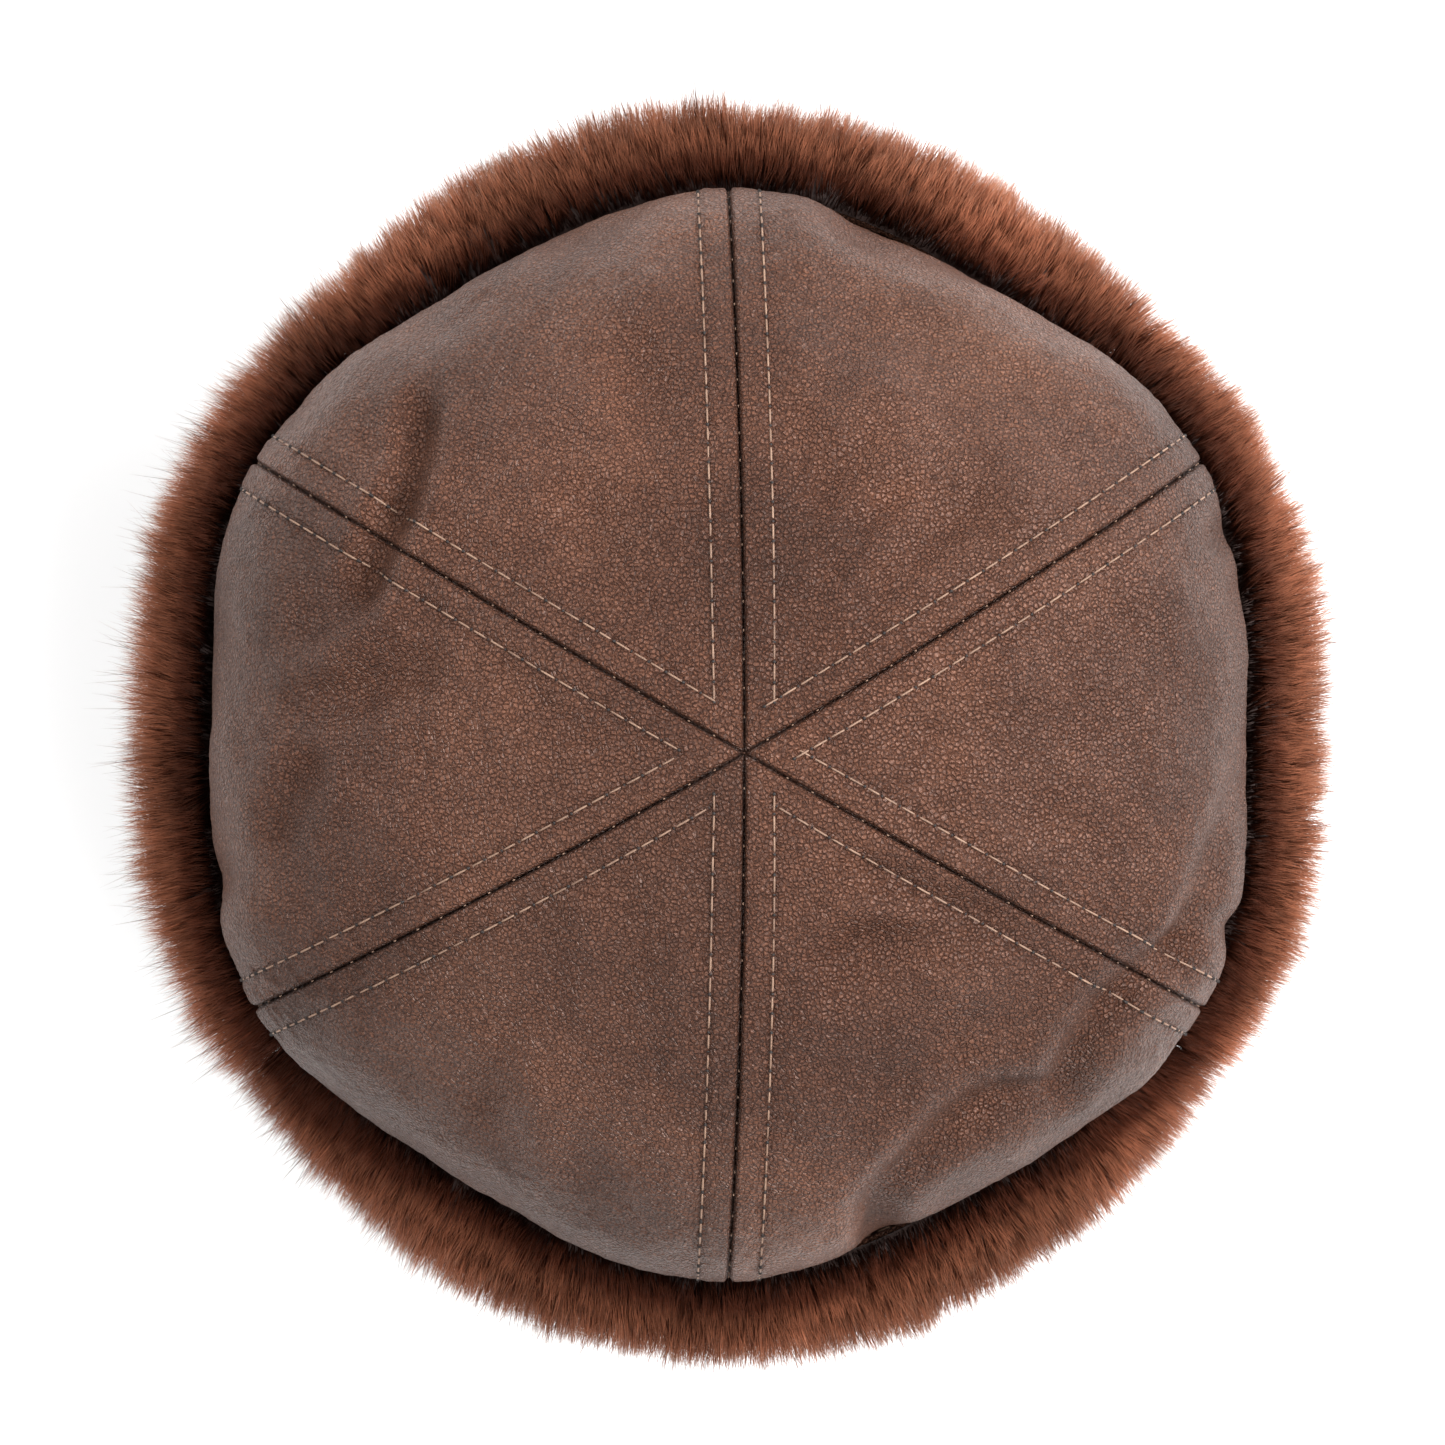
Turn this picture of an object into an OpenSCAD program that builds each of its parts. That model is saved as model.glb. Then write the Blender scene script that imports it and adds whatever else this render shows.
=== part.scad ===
// Trapper hat: a six panel leather crown, padded and lined, with a visor, two ear flaps
// and a neck flap of leather faced with deep pile, all four folded up against the crown.
// Millimetres, +Z up, front at -Y, wearer's left at +X. The hat stands on its rim at Z = 0.

/* [Crown] */
// Radius of the widest level at the six seams
crown_seam_r = 108; // [90:0.5:130]
// Radius of the widest level at the middle of each panel
crown_mid_r = 102.5; // [86:0.5:126]
// Height of the apex above the table
crown_height = 138; // [115:1:165]
// Height of the widest level
widest_z = 84; // [70:1:100]
// How far the apex lies toward the wearer's left
apex_left = 3; // [-6:0.5:6]
// How far the apex lies toward the front
apex_forward = 3.5; // [-6:0.5:6]
// Thickness of the crown leather
leather_t = 1.6; // [1:0.1:2.5]
// Thickness of the padding behind the leather
batting_t = 2.2; // [1:0.1:3.5]
// Thickness of the lining
lining_t = 1; // [0.6:0.1:1.5]

/* [Head opening and rim] */
// Width of the head opening inside the sweatband
head_w = 174; // [150:1:185]
// Length of the head opening inside the sweatband
head_l = 194; // [170:1:210]
// Thickness of the sweatband
band_t = 1.2; // [0.8:0.1:2]
// Height of the sweatband
band_h = 32; // [20:1:40]
// Height of the rim binding
rim_h = 4; // [3:0.5:8]
// Width of the blank label
label_w = 44; // [25:1:60]
// Height of the blank label
label_h = 20; // [12:1:24]
// Thickness of the blank label
label_t = 0.6; // [0.3:0.1:1]

/* [Flaps] */
// Thickness of the flap leather
flap_t = 2; // [1.2:0.1:3]
// Space between the crown and the flap's edge
edge_space = 1.2; // [1:0.1:4]
// Height of the visor's leather
visor_h = 62; // [45:1:75]
// Height of the ear flaps' leather
ear_h = 68; // [50:1:82]
// Height of the neck flap's leather
neck_h = 65; // [45:1:80]
// Thickness of the board that stiffens the visor
board_t = 0.8; // [0.5:0.1:1.5]

/* [Pile] */
// Depth of the pile on the wearer's left and right
pile_side = 22.5; // [10:0.5:28]
// Depth of the pile at the front and back
pile_end = 21.3; // [10:0.1:28]
// How far the pile stands above the leather's edge
pile_over = 9; // [5:0.5:12]
// Height at which the pile begins
pile_z = 4.5; // [3.5:0.5:8]

/* [Snaps] */
// Height of the snaps
snap_z = 44; // [25:1:48]
// Space between the crown and the ear flap's leather at the snaps
snap_depth = 3; // [2.6:0.1:5]
// Radius of the stud's post
post_r = 1.8; // [1.2:0.1:2.5]
// Clearance between the post and its socket
post_clear = 0.5; // [0.4:0.05:0.8]
// Radius of the socket and of the stud's base
snap_r = 5; // [4:0.25:7]
// Radius of the rivet that passes through the crown leather
rivet_r = 1.2; // [0.8:0.1:1.5]

/* [Hidden] */
panel_names = ["left", "back_left", "back_right", "right", "front_right", "front_left"];

leather_colour = [0.45, 0.27, 0.17];
fur_colour = [0.36, 0.17, 0.10];
lining_colour = [0.20, 0.13, 0.10];
band_colour = [0.13, 0.09, 0.08];
batting_colour = [0.90, 0.88, 0.84];
label_colour = [0.75, 0.68, 0.56];
board_colour = [0.55, 0.52, 0.47];
brass_colour = [0.62, 0.48, 0.28];

ply_gap = 0.2;          // between one layer and the next
seam_gap = 0.3;         // between neighbouring panels
flap_gap = 1;           // between neighbouring flaps
panel_steps = 8;        // facets across a panel
side_steps = 6;         // facets up the side of a panel
dome_steps = 6;         // facets over the top of a panel
dome_end = 89.2;        // the panels stop this many degrees round the dome
rim_steps = 72;         // sides of the rim's outline

// Depths below the crown's outer face at which the layers begin
batting_d = leather_t + ply_gap;
lining_d = batting_d + batting_t + ply_gap;
stack_t = lining_d + lining_t;

// Half widths and half lengths of the ovals at the rim
band_in = [head_w / 2, head_l / 2];
binding_in = band_in + [1, 1] * (band_t + 0.1);
rim_out = binding_in + [1, 1] * stack_t;

// Flap sectors, in degrees counterclockwise from the wearer's left
left_ear_sector = [-35, 45];
neck_sector = [45, 135];
right_ear_sector = [135, 215];
visor_sector = [215, 325];
flap_z = 2;             // height at which the flap leather begins
root_space = 0.6;       // between the rim and the flap leather at its root
corner_drop = 0.1;      // how much lower a flap is at its two corners
flap_step = 6;          // degrees per facet along a flap
flap_rows = 6;          // facets up a flap

// ---- Shapes -------------------------------------------------------------------------------

function mix(a, b, t) = a + (b - a) * t;
function within(t) = max(0, min(1, t));
function smooth(t) = let (c = within(t)) c * c * (3 - 2 * c);
function oval_r(half, q) = half[0] * half[1] / norm([half[1] * cos(q), half[0] * sin(q)]);

// Radius of the crown's outer face: oval at the rim, a rounded hexagon at the widest level.
// The side stands nearly upright as far as the bulge, and then swells out over the flaps.
bulge_start = 0.65;     // where the bulge begins, as a share of the widest level's height
upright_lean = 0.2;     // how much of the way out the upright stretch leans
function wide_r(q) =
    (crown_seam_r + crown_mid_r) / 2 + (crown_seam_r - crown_mid_r) / 2 * cos(6 * (q - 90));
function bulge(t) =
    upright_lean * t + (1 - upright_lean) * smooth((t - bulge_start) / (1 - bulge_start));
function side_r(q, z) = mix(oval_r(rim_out, q), wide_r(q), bulge(within(z / widest_z)));

// Radius and height of the crown at row j, at depth d below its outer face
function dome_angle(j) = dome_end * (j - side_steps) / dome_steps;
function dome_normal(q, a) =
    let (n = [(crown_height - widest_z) * cos(a), wide_r(q) * sin(a)]) n / norm(n);
function crown_section(q, j, d) =
    j < side_steps
    ? let (z = mix(rim_h + ply_gap, widest_z, j / side_steps)) [side_r(q, z) - d, z]
    : let (a = dome_angle(j))
      [wide_r(q) * cos(a), mix(widest_z, crown_height, sin(a))] - d * dome_normal(q, a);
function apex_shift(j) =
    j < side_steps ? [0, 0] : [apex_left, -apex_forward] * pow(sin(dome_angle(j)), 2);
function crown_point(q, j, d) =
    let (s = crown_section(q, j, d), c = apex_shift(j))
    [c[0] + s[0] * cos(q), c[1] + s[0] * sin(q), s[1]];

// One layer of one panel, from depth d to depth d + t
function panel_angle(first, i, j) =
    let (inset = asin(seam_gap / 2 / crown_section(first + 30, j, 0)[0]))
    mix(first + inset, first + 60 - inset, i / panel_steps);
function panel_face(first, d) = [
    for (i = [0 : panel_steps])
        [for (j = [0 : side_steps + dome_steps]) crown_point(panel_angle(first, i, j), j, d)]
];
module panel_layer(k, d, t) {
    first = -30 + 60 * k;
    slab(panel_face(first, d), panel_face(first, d + t));
}

// A closed slab between two grids of points. Columns run counterclockwise and rows run upward.
module slab(outer, inner) {
    n = len(outer);
    m = len(outer[0]);
    half = n * m;
    points = concat([for (c = outer) each c], [for (c = inner) each c]);
    quads = concat(
        [for (i = [0 : n - 2], j = [0 : m - 2])
            [i * m + j, i * m + j + 1, (i + 1) * m + j + 1, (i + 1) * m + j]],
        [for (i = [0 : n - 2], j = [0 : m - 2])
            [half + i * m + j, half + (i + 1) * m + j, half + (i + 1) * m + j + 1, half + i * m + j + 1]],
        [for (i = [0 : n - 2]) [i * m, (i + 1) * m, half + (i + 1) * m, half + i * m]],
        [for (i = [0 : n - 2])
            [i * m + m - 1, half + i * m + m - 1, half + (i + 1) * m + m - 1, (i + 1) * m + m - 1]],
        [for (j = [0 : m - 2]) [j, half + j, half + j + 1, j + 1]],
        [for (j = [0 : m - 2])
            [half - m + j, half - m + j + 1, 2 * half - m + j + 1, 2 * half - m + j]]
    );
    polyhedron(points, [for (f = quads) each [[f[0], f[1], f[2]], [f[0], f[2], f[3]]]]);
}

module oval(half) {
    polygon([for (i = [0 : rim_steps - 1])
        let (q = 360 * i / rim_steps) [half[0] * cos(q), half[1] * sin(q)]]);
}

// ---- Crown, lining and rim ----------------------------------------------------------------

module crown_panel(k) {
    color(leather_colour) panel_layer(k, 0, leather_t);
}

module lining_panel(k) {
    color(lining_colour) panel_layer(k, lining_d, lining_t);
}

module crown_batting() {
    color(batting_colour)
        for (k = [0 : 5]) panel_layer(k, batting_d, batting_t);
}

module rim_binding() {
    color(leather_colour)
        linear_extrude(rim_h) difference() {
            oval(rim_out);
            oval(binding_in);
        }
}

module sweatband() {
    color(band_colour)
        translate([0, 0, 1])
            linear_extrude(band_h) difference() {
                oval(band_in + [1, 1] * band_t);
                oval(band_in);
            }
}

module blank_label() {
    face = band_in - [1, 1] * ply_gap;
    half_angle = label_w / head_w * 180 / PI;
    low = 1 + (band_h - label_h) / 2;
    function patch(half) = [
        for (i = [-4 : 4]) let (q = 90 + half_angle * i / 4)
            [for (z = [low, low + label_h]) [half[0] * cos(q), half[1] * sin(q), z]]
    ];
    color(label_colour) slab(patch(face), patch(face - [1, 1] * label_t));
}

// ---- Flaps ----------------------------------------------------------------------------------

// A flap rises straight from the rim to its edge under the bulge. belly bows it out where
// that leaves less room than the snaps need.
function straight_r(q, z, top) =
    mix(oval_r(rim_out, q) + root_space, side_r(q, top) + edge_space, z / top);
belly = max(0, side_r(0, snap_z) + snap_depth - straight_r(0, snap_z, ear_h))
    / sin(180 * snap_z / ear_h);
function flap_in_r(q, z, top) = straight_r(q, z, top) + belly * sin(180 * z / top);
function flap_out_r(q, z, top) = flap_in_r(q, z, top) + flap_t;
function pile_depth(q) = mix(pile_side, pile_end, pow(sin(q), 2));
function edge_z(sector, height, q) =
    let (u = abs(2 * (q - sector[0]) / (sector[1] - sector[0]) - 1))
    height * (1 - corner_drop * pow(u, 3));
function at(q, r, z) = [r * cos(q), r * sin(q), z];
function stations(sector, inset) =
    let (steps = round((sector[1] - sector[0]) / flap_step))
    [for (i = [0 : steps]) mix(sector[0] + inset, sector[1] - inset, i / steps)];
gap_angle = flap_gap / 2 / crown_mid_r * 180 / PI;

module flap_leather(sector, height) {
    function face(d) = [
        for (q = stations(sector, gap_angle))
            [for (j = [0 : flap_rows])
                let (top = edge_z(sector, height, q), z = mix(flap_z, top, j / flap_rows))
                at(q, flap_in_r(q, z, top) + d, z)]
    ];
    color(leather_colour) slab(face(flap_t), face(0));
}

// The pile rises up the flap's face and rolls over the leather's edge in a quarter oval that
// ends just outside the crown. under is the space left between the leather and the pile.
roll_steps = 4;
pile_rows = 3;
shoulder = 5;           // the roll begins this far below the leather's edge
root_share = 0.55;      // depth of the pile at its bottom edge, as a share of its full depth
function roll_end_r(q, top) = side_r(q, top + pile_over) + edge_space;
function pile_side_point(q, top, share) =
    let (z = mix(pile_z, top - shoulder, share))
    at(q, flap_out_r(q, z, top) + pile_depth(q) * mix(root_share, 1, smooth(2 * share)), z);
function pile_roll_point(q, top, b) =
    let (
        end_r = roll_end_r(q, top),
        start_r = flap_out_r(q, top - shoulder, top) + pile_depth(q)
    )
    at(q, end_r + (start_r - end_r) * cos(b), top - shoulder + (shoulder + pile_over) * sin(b));
module flap_fur(sector, height, under) {
    columns = stations(sector, gap_angle);
    outer = [
        for (q = columns)
            let (top = edge_z(sector, height, q))
            concat(
                [for (j = [0 : pile_rows]) pile_side_point(q, top, j / pile_rows)],
                [for (j = [1 : roll_steps]) pile_roll_point(q, top, 90 * j / roll_steps)]
            )
    ];
    inner = [
        for (q = columns)
            let (top = edge_z(sector, height, q), edge_r = flap_out_r(q, top, top) + under)
            concat(
                [for (j = [0 : pile_rows])
                    let (z = mix(pile_z, top, j / pile_rows)) at(q, flap_out_r(q, z, top) + under, z)],
                [for (j = [1 : roll_steps])
                    at(q, mix(edge_r, roll_end_r(q, top), j / roll_steps),
                        top + pile_over / 2 * j / roll_steps)]
            )
    ];
    color(fur_colour) slab(outer, inner);
}

board_low = 12;         // the board's lower edge
board_drop = 8;         // from the leather's edge down to the board
board_inset = 6;        // degrees between the board and the visor's corners
module visor_board() {
    function face(d) = [
        for (q = stations(visor_sector, board_inset))
            [for (j = [0 : 3])
                let (
                    top = edge_z(visor_sector, visor_h, q),
                    z = mix(board_low, top - board_drop, j / 3)
                )
                at(q, flap_out_r(q, z, top) + d, z)]
    ];
    color(board_colour) slab(face(ply_gap + board_t), face(ply_gap));
}

// ---- Snaps that hold the ear flaps up -------------------------------------------------------
// side is 1 for the wearer's left and -1 for the right. Distances run outward from the crown.

base_t = 0.6;
socket_start = base_t + 0.35;
post_end = snap_depth - 0.8;
socket_plate = 0.4;
washer_t = 0.6;
cap_t = 1;
module on_side(side, from) {
    translate([side * (side_r(0, snap_z) + from), 0, snap_z])
        rotate([0, side * 90, 0]) children();
}
module snap_stud(side) {
    back = leather_t + 0.15 + washer_t;
    color(brass_colour) {
        on_side(side, 0.05) cylinder(h = base_t, r = snap_r, $fn = 48);
        on_side(side, 0.05) cylinder(h = post_end - 0.05, r = post_r, $fn = 48);
        on_side(side, -back) cylinder(h = back + 0.1, r = rivet_r, $fn = 48);
    }
}
module snap_washer(side) {
    color(brass_colour)
        on_side(side, -leather_t - 0.15 - washer_t)
            difference() {
                cylinder(h = washer_t, r = snap_r - 1, $fn = 48);
                translate([0, 0, -1]) cylinder(h = washer_t + 2, r = rivet_r + 0.05, $fn = 48);
            }
}
module snap_socket(side) {
    color(brass_colour)
        on_side(side, socket_start)
            difference() {
                cylinder(h = snap_depth - socket_start, r = snap_r, $fn = 48);
                translate([0, 0, -1])
                    cylinder(
                        h = 1 + snap_depth - socket_start - socket_plate,
                        r = post_r + post_clear, $fn = 48
                    );
            }
}
module snap_cap(side) {
    color(brass_colour)
        on_side(side, snap_depth + flap_t)
            cylinder(h = cap_t, r = snap_r + 0.5, $fn = 48);
}

// ---- The assembly -----------------------------------------------------------------------------

for (k = [0 : 5]) {
    crown_panel(k);
    lining_panel(k);
}
crown_batting();
rim_binding();
sweatband();
blank_label();

flap_leather(visor_sector, visor_h);  // visor_leather
visor_board();
flap_fur(visor_sector, visor_h, board_t + 2 * ply_gap);  // visor_fur
flap_leather(left_ear_sector, ear_h);  // left_ear_leather
flap_fur(left_ear_sector, ear_h, ply_gap);  // left_ear_fur
flap_leather(right_ear_sector, ear_h);  // right_ear_leather
flap_fur(right_ear_sector, ear_h, ply_gap);  // right_ear_fur
flap_leather(neck_sector, neck_h);  // neck_leather
flap_fur(neck_sector, neck_h, ply_gap);  // neck_fur

for (side = [1, -1]) {
    name = side > 0 ? "left_snap_" : "right_snap_";
    snap_stud(side);
    snap_washer(side);
    snap_socket(side);
    snap_cap(side);
}
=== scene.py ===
"""Trapper hat: the finished surfaces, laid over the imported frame.

Lengths are metres, bearings are radians counterclockwise from the wearer's left (+X), +Z is up
and the front is at -Y. Every surface is a function of a bearing and a second parameter, worked
out on whole grids, and every finished object sits at the origin.
"""

import logging
import math
from dataclasses import dataclass, field
from enum import Enum

import bpy
import numpy as np
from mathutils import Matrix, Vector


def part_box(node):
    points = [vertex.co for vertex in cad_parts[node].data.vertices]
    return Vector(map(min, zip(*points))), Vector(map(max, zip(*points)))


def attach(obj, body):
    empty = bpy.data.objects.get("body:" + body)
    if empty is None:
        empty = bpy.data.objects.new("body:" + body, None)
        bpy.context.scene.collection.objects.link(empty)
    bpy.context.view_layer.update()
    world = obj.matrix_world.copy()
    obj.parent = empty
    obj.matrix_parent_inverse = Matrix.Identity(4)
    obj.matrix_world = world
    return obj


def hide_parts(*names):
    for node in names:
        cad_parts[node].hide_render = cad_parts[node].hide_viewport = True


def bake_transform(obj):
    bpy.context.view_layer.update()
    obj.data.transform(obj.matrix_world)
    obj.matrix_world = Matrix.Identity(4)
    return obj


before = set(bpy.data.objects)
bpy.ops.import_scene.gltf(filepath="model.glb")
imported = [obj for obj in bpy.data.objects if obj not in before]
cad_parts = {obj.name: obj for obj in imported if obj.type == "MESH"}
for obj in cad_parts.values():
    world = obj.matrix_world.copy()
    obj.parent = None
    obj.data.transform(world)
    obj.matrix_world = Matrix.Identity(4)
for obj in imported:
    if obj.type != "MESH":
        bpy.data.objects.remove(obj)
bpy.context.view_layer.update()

LOG = logging.getLogger("trapper_hat")
MM = 0.001
TAU = 2.0 * math.pi
Array = np.ndarray
Piece = bpy.types.Object


# ---- Arithmetic on whole arrays --------------------------------------------------------------


def mix(a: Array, b: Array, t: Array) -> Array:
    """Straight blend: a where t is 0, b where t is 1."""
    return a + (b - a) * t


def smooth(t: Array) -> Array:
    """The cubic 3t^2 - 2t^3, held at 0 and 1 outside the unit range."""
    c = np.clip(t, 0.0, 1.0)
    return c * c * (3.0 - 2.0 * c)


def bell(x: Array, width: float) -> Array:
    """The bell curve exp(-(x / width)^2)."""
    return np.exp(-np.square(x / width))


def squared(c: Array, power: float) -> Array:
    """Signed power sign(c) |c|^power, which turns a circle's cosine and sine into a rounded square's."""
    return np.sign(c) * np.abs(c) ** power


def unit(v: Array) -> Array:
    """Vectors scaled to length one along the last axis."""
    return v / np.maximum(np.linalg.norm(v, axis=-1, keepdims=True), 1e-12)


def ripple(p: Array, wavelength: float, seed: int, waves: int = 18) -> Array:
    """Smooth random field over points, from -1 to 1.

    The mean of plane cosine waves whose directions and phases are drawn from the seed and whose
    lengths spread round the given wavelength.

    Args:
        p: Points, with two or three coordinates on the last axis.
        wavelength: Typical distance from crest to crest.
        seed: Picks the waves.
        waves: How many are added.

    Returns:
        One value for each point.
    """
    rng = np.random.default_rng(seed)
    direction = unit(rng.normal(size=(waves, p.shape[-1])))
    number = TAU / (wavelength * rng.uniform(0.6, 1.7, waves))
    phase = rng.uniform(0.0, TAU, waves)
    total = np.cos(p @ (direction * number[:, None]).T + phase).sum(-1)
    return np.clip(total / math.sqrt(waves), -1.0, 1.0)


def node_box(node: str) -> tuple[Array, Array]:
    """Lowest and highest corner of a CAD node."""
    low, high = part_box(node)
    return np.array(low), np.array(high)


# ---- Mesh making --------------------------------------------------------------------------------


def make_mesh(
    name: str,
    points: Array,
    quads: Array | None = None,
    tris: Array | None = None,
    uv: Array | None = None,
    values: dict[str, Array] | None = None,
) -> Piece:
    """Make one smooth mesh object from whole arrays.

    Args:
        name: The object's name.
        points: Vertex places, n by 3.
        quads: Four vertex numbers for each four-sided face.
        tris: Three vertex numbers for each triangle.
        uv: One map coordinate for each vertex.
        values: Named numbers to store, one for each vertex.

    Returns:
        The object, at the origin.
    """
    quads = np.empty((0, 4), np.int32) if quads is None else quads
    tris = np.empty((0, 3), np.int32) if tris is None else tris
    corners = np.concatenate([quads.ravel(), tris.ravel()]).astype(np.int32)
    starts = np.concatenate([np.arange(len(quads)) * 4, quads.size + np.arange(len(tris)) * 3])
    mesh = bpy.data.meshes.new(name)
    mesh.vertices.add(len(points))
    mesh.vertices.foreach_set("co", points.astype(np.float32).ravel())
    mesh.loops.add(len(corners))
    mesh.loops.foreach_set("vertex_index", corners)
    mesh.polygons.add(len(starts))
    mesh.polygons.foreach_set("loop_start", starts.astype(np.int32))
    mesh.polygons.foreach_set("use_smooth", np.ones(len(starts), bool))
    if uv is not None:
        layer = mesh.uv_layers.new(name="OFBake", do_init=False)
        layer.uv.foreach_set("vector", uv[corners].astype(np.float32).ravel())
    for key, value in (values or {}).items():
        attribute = mesh.attributes.new(key, "FLOAT", "POINT")
        attribute.data.foreach_set("value", value.astype(np.float32).ravel())
    mesh.update(calc_edges=True)
    mesh.validate()
    piece = bpy.data.objects.new(name, mesh)
    bpy.context.scene.collection.objects.link(piece)
    return piece


def grid_quads(columns: int, rows: int, close_columns: bool = False) -> Array:
    """Faces of a grid of points stored column by column, counterclockwise from outside.

    Args:
        columns: Number of columns, which run counterclockwise seen from above.
        rows: Number of rows, which run upward.
        close_columns: Whether the last column joins the first.

    Returns:
        Four vertex numbers for each face.
    """
    i = np.arange(columns if close_columns else columns - 1)[:, None]
    j = np.arange(rows - 1)[None, :]
    here, there = i * rows + j, (i + 1) % columns * rows + j
    return np.stack([here, there, there + 1, here + 1], -1).reshape(-1, 4)


def slab(outer: Array, inner: Array) -> tuple[Array, Array]:
    """Close the space between two grids of points.

    Args:
        outer: The outer face, columns by rows by 3.
        inner: The inner face, the same shape.

    Returns:
        Points and faces: both grids and the four edges between them.
    """
    columns, rows, _ = outer.shape
    half = columns * rows
    front = grid_quads(columns, rows)
    i, j = np.arange(columns - 1), np.arange(rows - 1)
    low, last = i * rows, half - rows + j
    edges = [
        np.stack([low + half, low + half + rows, low + rows, low], -1),
        np.stack([low + rows - 1, low + 2 * rows - 1, low + half + 2 * rows - 1, low + half + rows - 1], -1),
        np.stack([j, j + 1, j + 1 + half, j + half], -1),
        np.stack([last, last + half, last + half + 1, last + 1], -1),
    ]
    points = np.concatenate([outer.reshape(-1, 3), inner.reshape(-1, 3)])
    return points, np.concatenate([front, front[:, ::-1] + half, *edges])


def ring_tube(section: Array) -> tuple[Array, Array]:
    """Faces of a closed section carried right round a closed path.

    Args:
        section: Points, stations by section points by 3.

    Returns:
        Points and faces, closed both ways.
    """
    n, m, _ = section.shape
    i, j = np.arange(n)[:, None], np.arange(m)[None, :]
    a, b = i * m + j, (i + 1) % n * m + j
    c, d = (i + 1) % n * m + (j + 1) % m, i * m + (j + 1) % m
    return section.reshape(-1, 3), np.stack(np.broadcast_arrays(a, b, c, d), -1).reshape(-1, 4)


def spaced(path: Array, normal: Array, pitch: float) -> tuple[Array, Array, Array]:
    """Places at even steps along a dense path.

    Args:
        path: Points along the path.
        normal: The surface normal at each.
        pitch: Distance from one place to the next.

    Returns:
        The places, the directions along the path and the normals there.
    """
    run = np.concatenate([[0.0], np.cumsum(np.linalg.norm(np.diff(path, axis=0), axis=1))])
    at = np.arange(pitch / 2, run[-1], pitch)
    place, up = (np.stack([np.interp(at, run, a[:, k]) for k in range(3)], -1) for a in (path, normal))
    ahead = np.stack([np.interp(at + pitch / 4, run, path[:, k]) for k in range(3)], -1)
    back = np.stack([np.interp(at - pitch / 4, run, path[:, k]) for k in range(3)], -1)
    return place, unit(ahead - back), unit(up)


# ---- Finishes -------------------------------------------------------------------------------------


class Shader:
    """A node material under construction."""

    def __init__(self, name: str) -> None:
        """Start an empty material.

        Args:
            name: The material's name.
        """
        self.material = bpy.data.materials.new(name)
        self.material.use_nodes = True
        self.nodes = self.material.node_tree.nodes
        self.nodes.clear()
        self.place = self.node("ShaderNodeTexCoord").outputs["Object"]

    def node(self, kind: str, settings: dict | None = None, **inputs: object) -> bpy.types.Node:
        """Add a node.

        Args:
            kind: Blender's name for the node.
            settings: The node's own options.
            **inputs: Values or sockets for its inputs, with _ for a space in a name.

        Returns:
            The node.
        """
        made = self.nodes.new(kind)
        for key, value in (settings or {}).items():
            setattr(made, key, value)
        for key, value in inputs.items():
            socket = made.inputs[int(key[1:])] if key[1:].isdigit() else made.inputs[key.replace("_", " ")]
            if isinstance(value, bpy.types.NodeSocket):
                self.material.node_tree.links.new(value, socket)
            else:
                socket.default_value = value
        return made

    def noise(self, scale: float, detail: float = 2.0, vector: object = None) -> bpy.types.NodeSocket:
        """Soft noise from 0 to 1, with scale features in a metre."""
        source = self.place if vector is None else vector
        return self.node("ShaderNodeTexNoise", Vector=source, Scale=scale, Detail=detail).outputs["Fac"]

    def maths(self, operation: str, a: object, b: object = 0.0) -> bpy.types.NodeSocket:
        """Combine two numbers."""
        return self.node("ShaderNodeMath", {"operation": operation}, _0=a, _1=b).outputs[0]

    def spread(self, value: object, low: float, high: float, to_low: float, to_high: float) -> bpy.types.NodeSocket:
        """Carry a number from one range to another, held at the ends."""
        return self.node(
            "ShaderNodeMapRange", Value=value, From_Min=low, From_Max=high, To_Min=to_low, To_Max=to_high
        ).outputs[0]

    def blend(self, factor: object, a: object, b: object, how: str = "MIX") -> bpy.types.NodeSocket:
        """Mix two colours.

        Args:
            factor: How much of the second colour shows.
            a: First colour.
            b: Second colour.
            how: The kind of mix.

        Returns:
            The mixed colour's socket.
        """
        made = self.node("ShaderNodeMix", {"data_type": "RGBA", "blend_type": how}, _0=factor)
        for index, value in ((6, a), (7, b)):
            if isinstance(value, bpy.types.NodeSocket):
                self.material.node_tree.links.new(value, made.inputs[index])
            else:
                made.inputs[index].default_value = (*value, 1.0)
        return made.outputs[2]

    def stored(self, name: str) -> bpy.types.NodeSocket:
        """A number stored on the mesh."""
        return self.node("ShaderNodeAttribute", {"attribute_name": name}).outputs["Fac"]

    def bump(self, height: object, distance: float, strength: float = 1.0) -> bpy.types.NodeSocket:
        """Surface normals for a height field."""
        return self.node("ShaderNodeBump", Height=height, Distance=distance, Strength=strength).outputs[0]

    def finish(self, **inputs: object) -> bpy.types.Material:
        """Close the material with one Principled shader.

        Returns:
            The material.
        """
        shader = self.node("ShaderNodeBsdfPrincipled", **inputs)
        out = self.node("ShaderNodeOutputMaterial")
        self.material.node_tree.links.new(shader.outputs[0], out.inputs[0])
        return self.material


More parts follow.
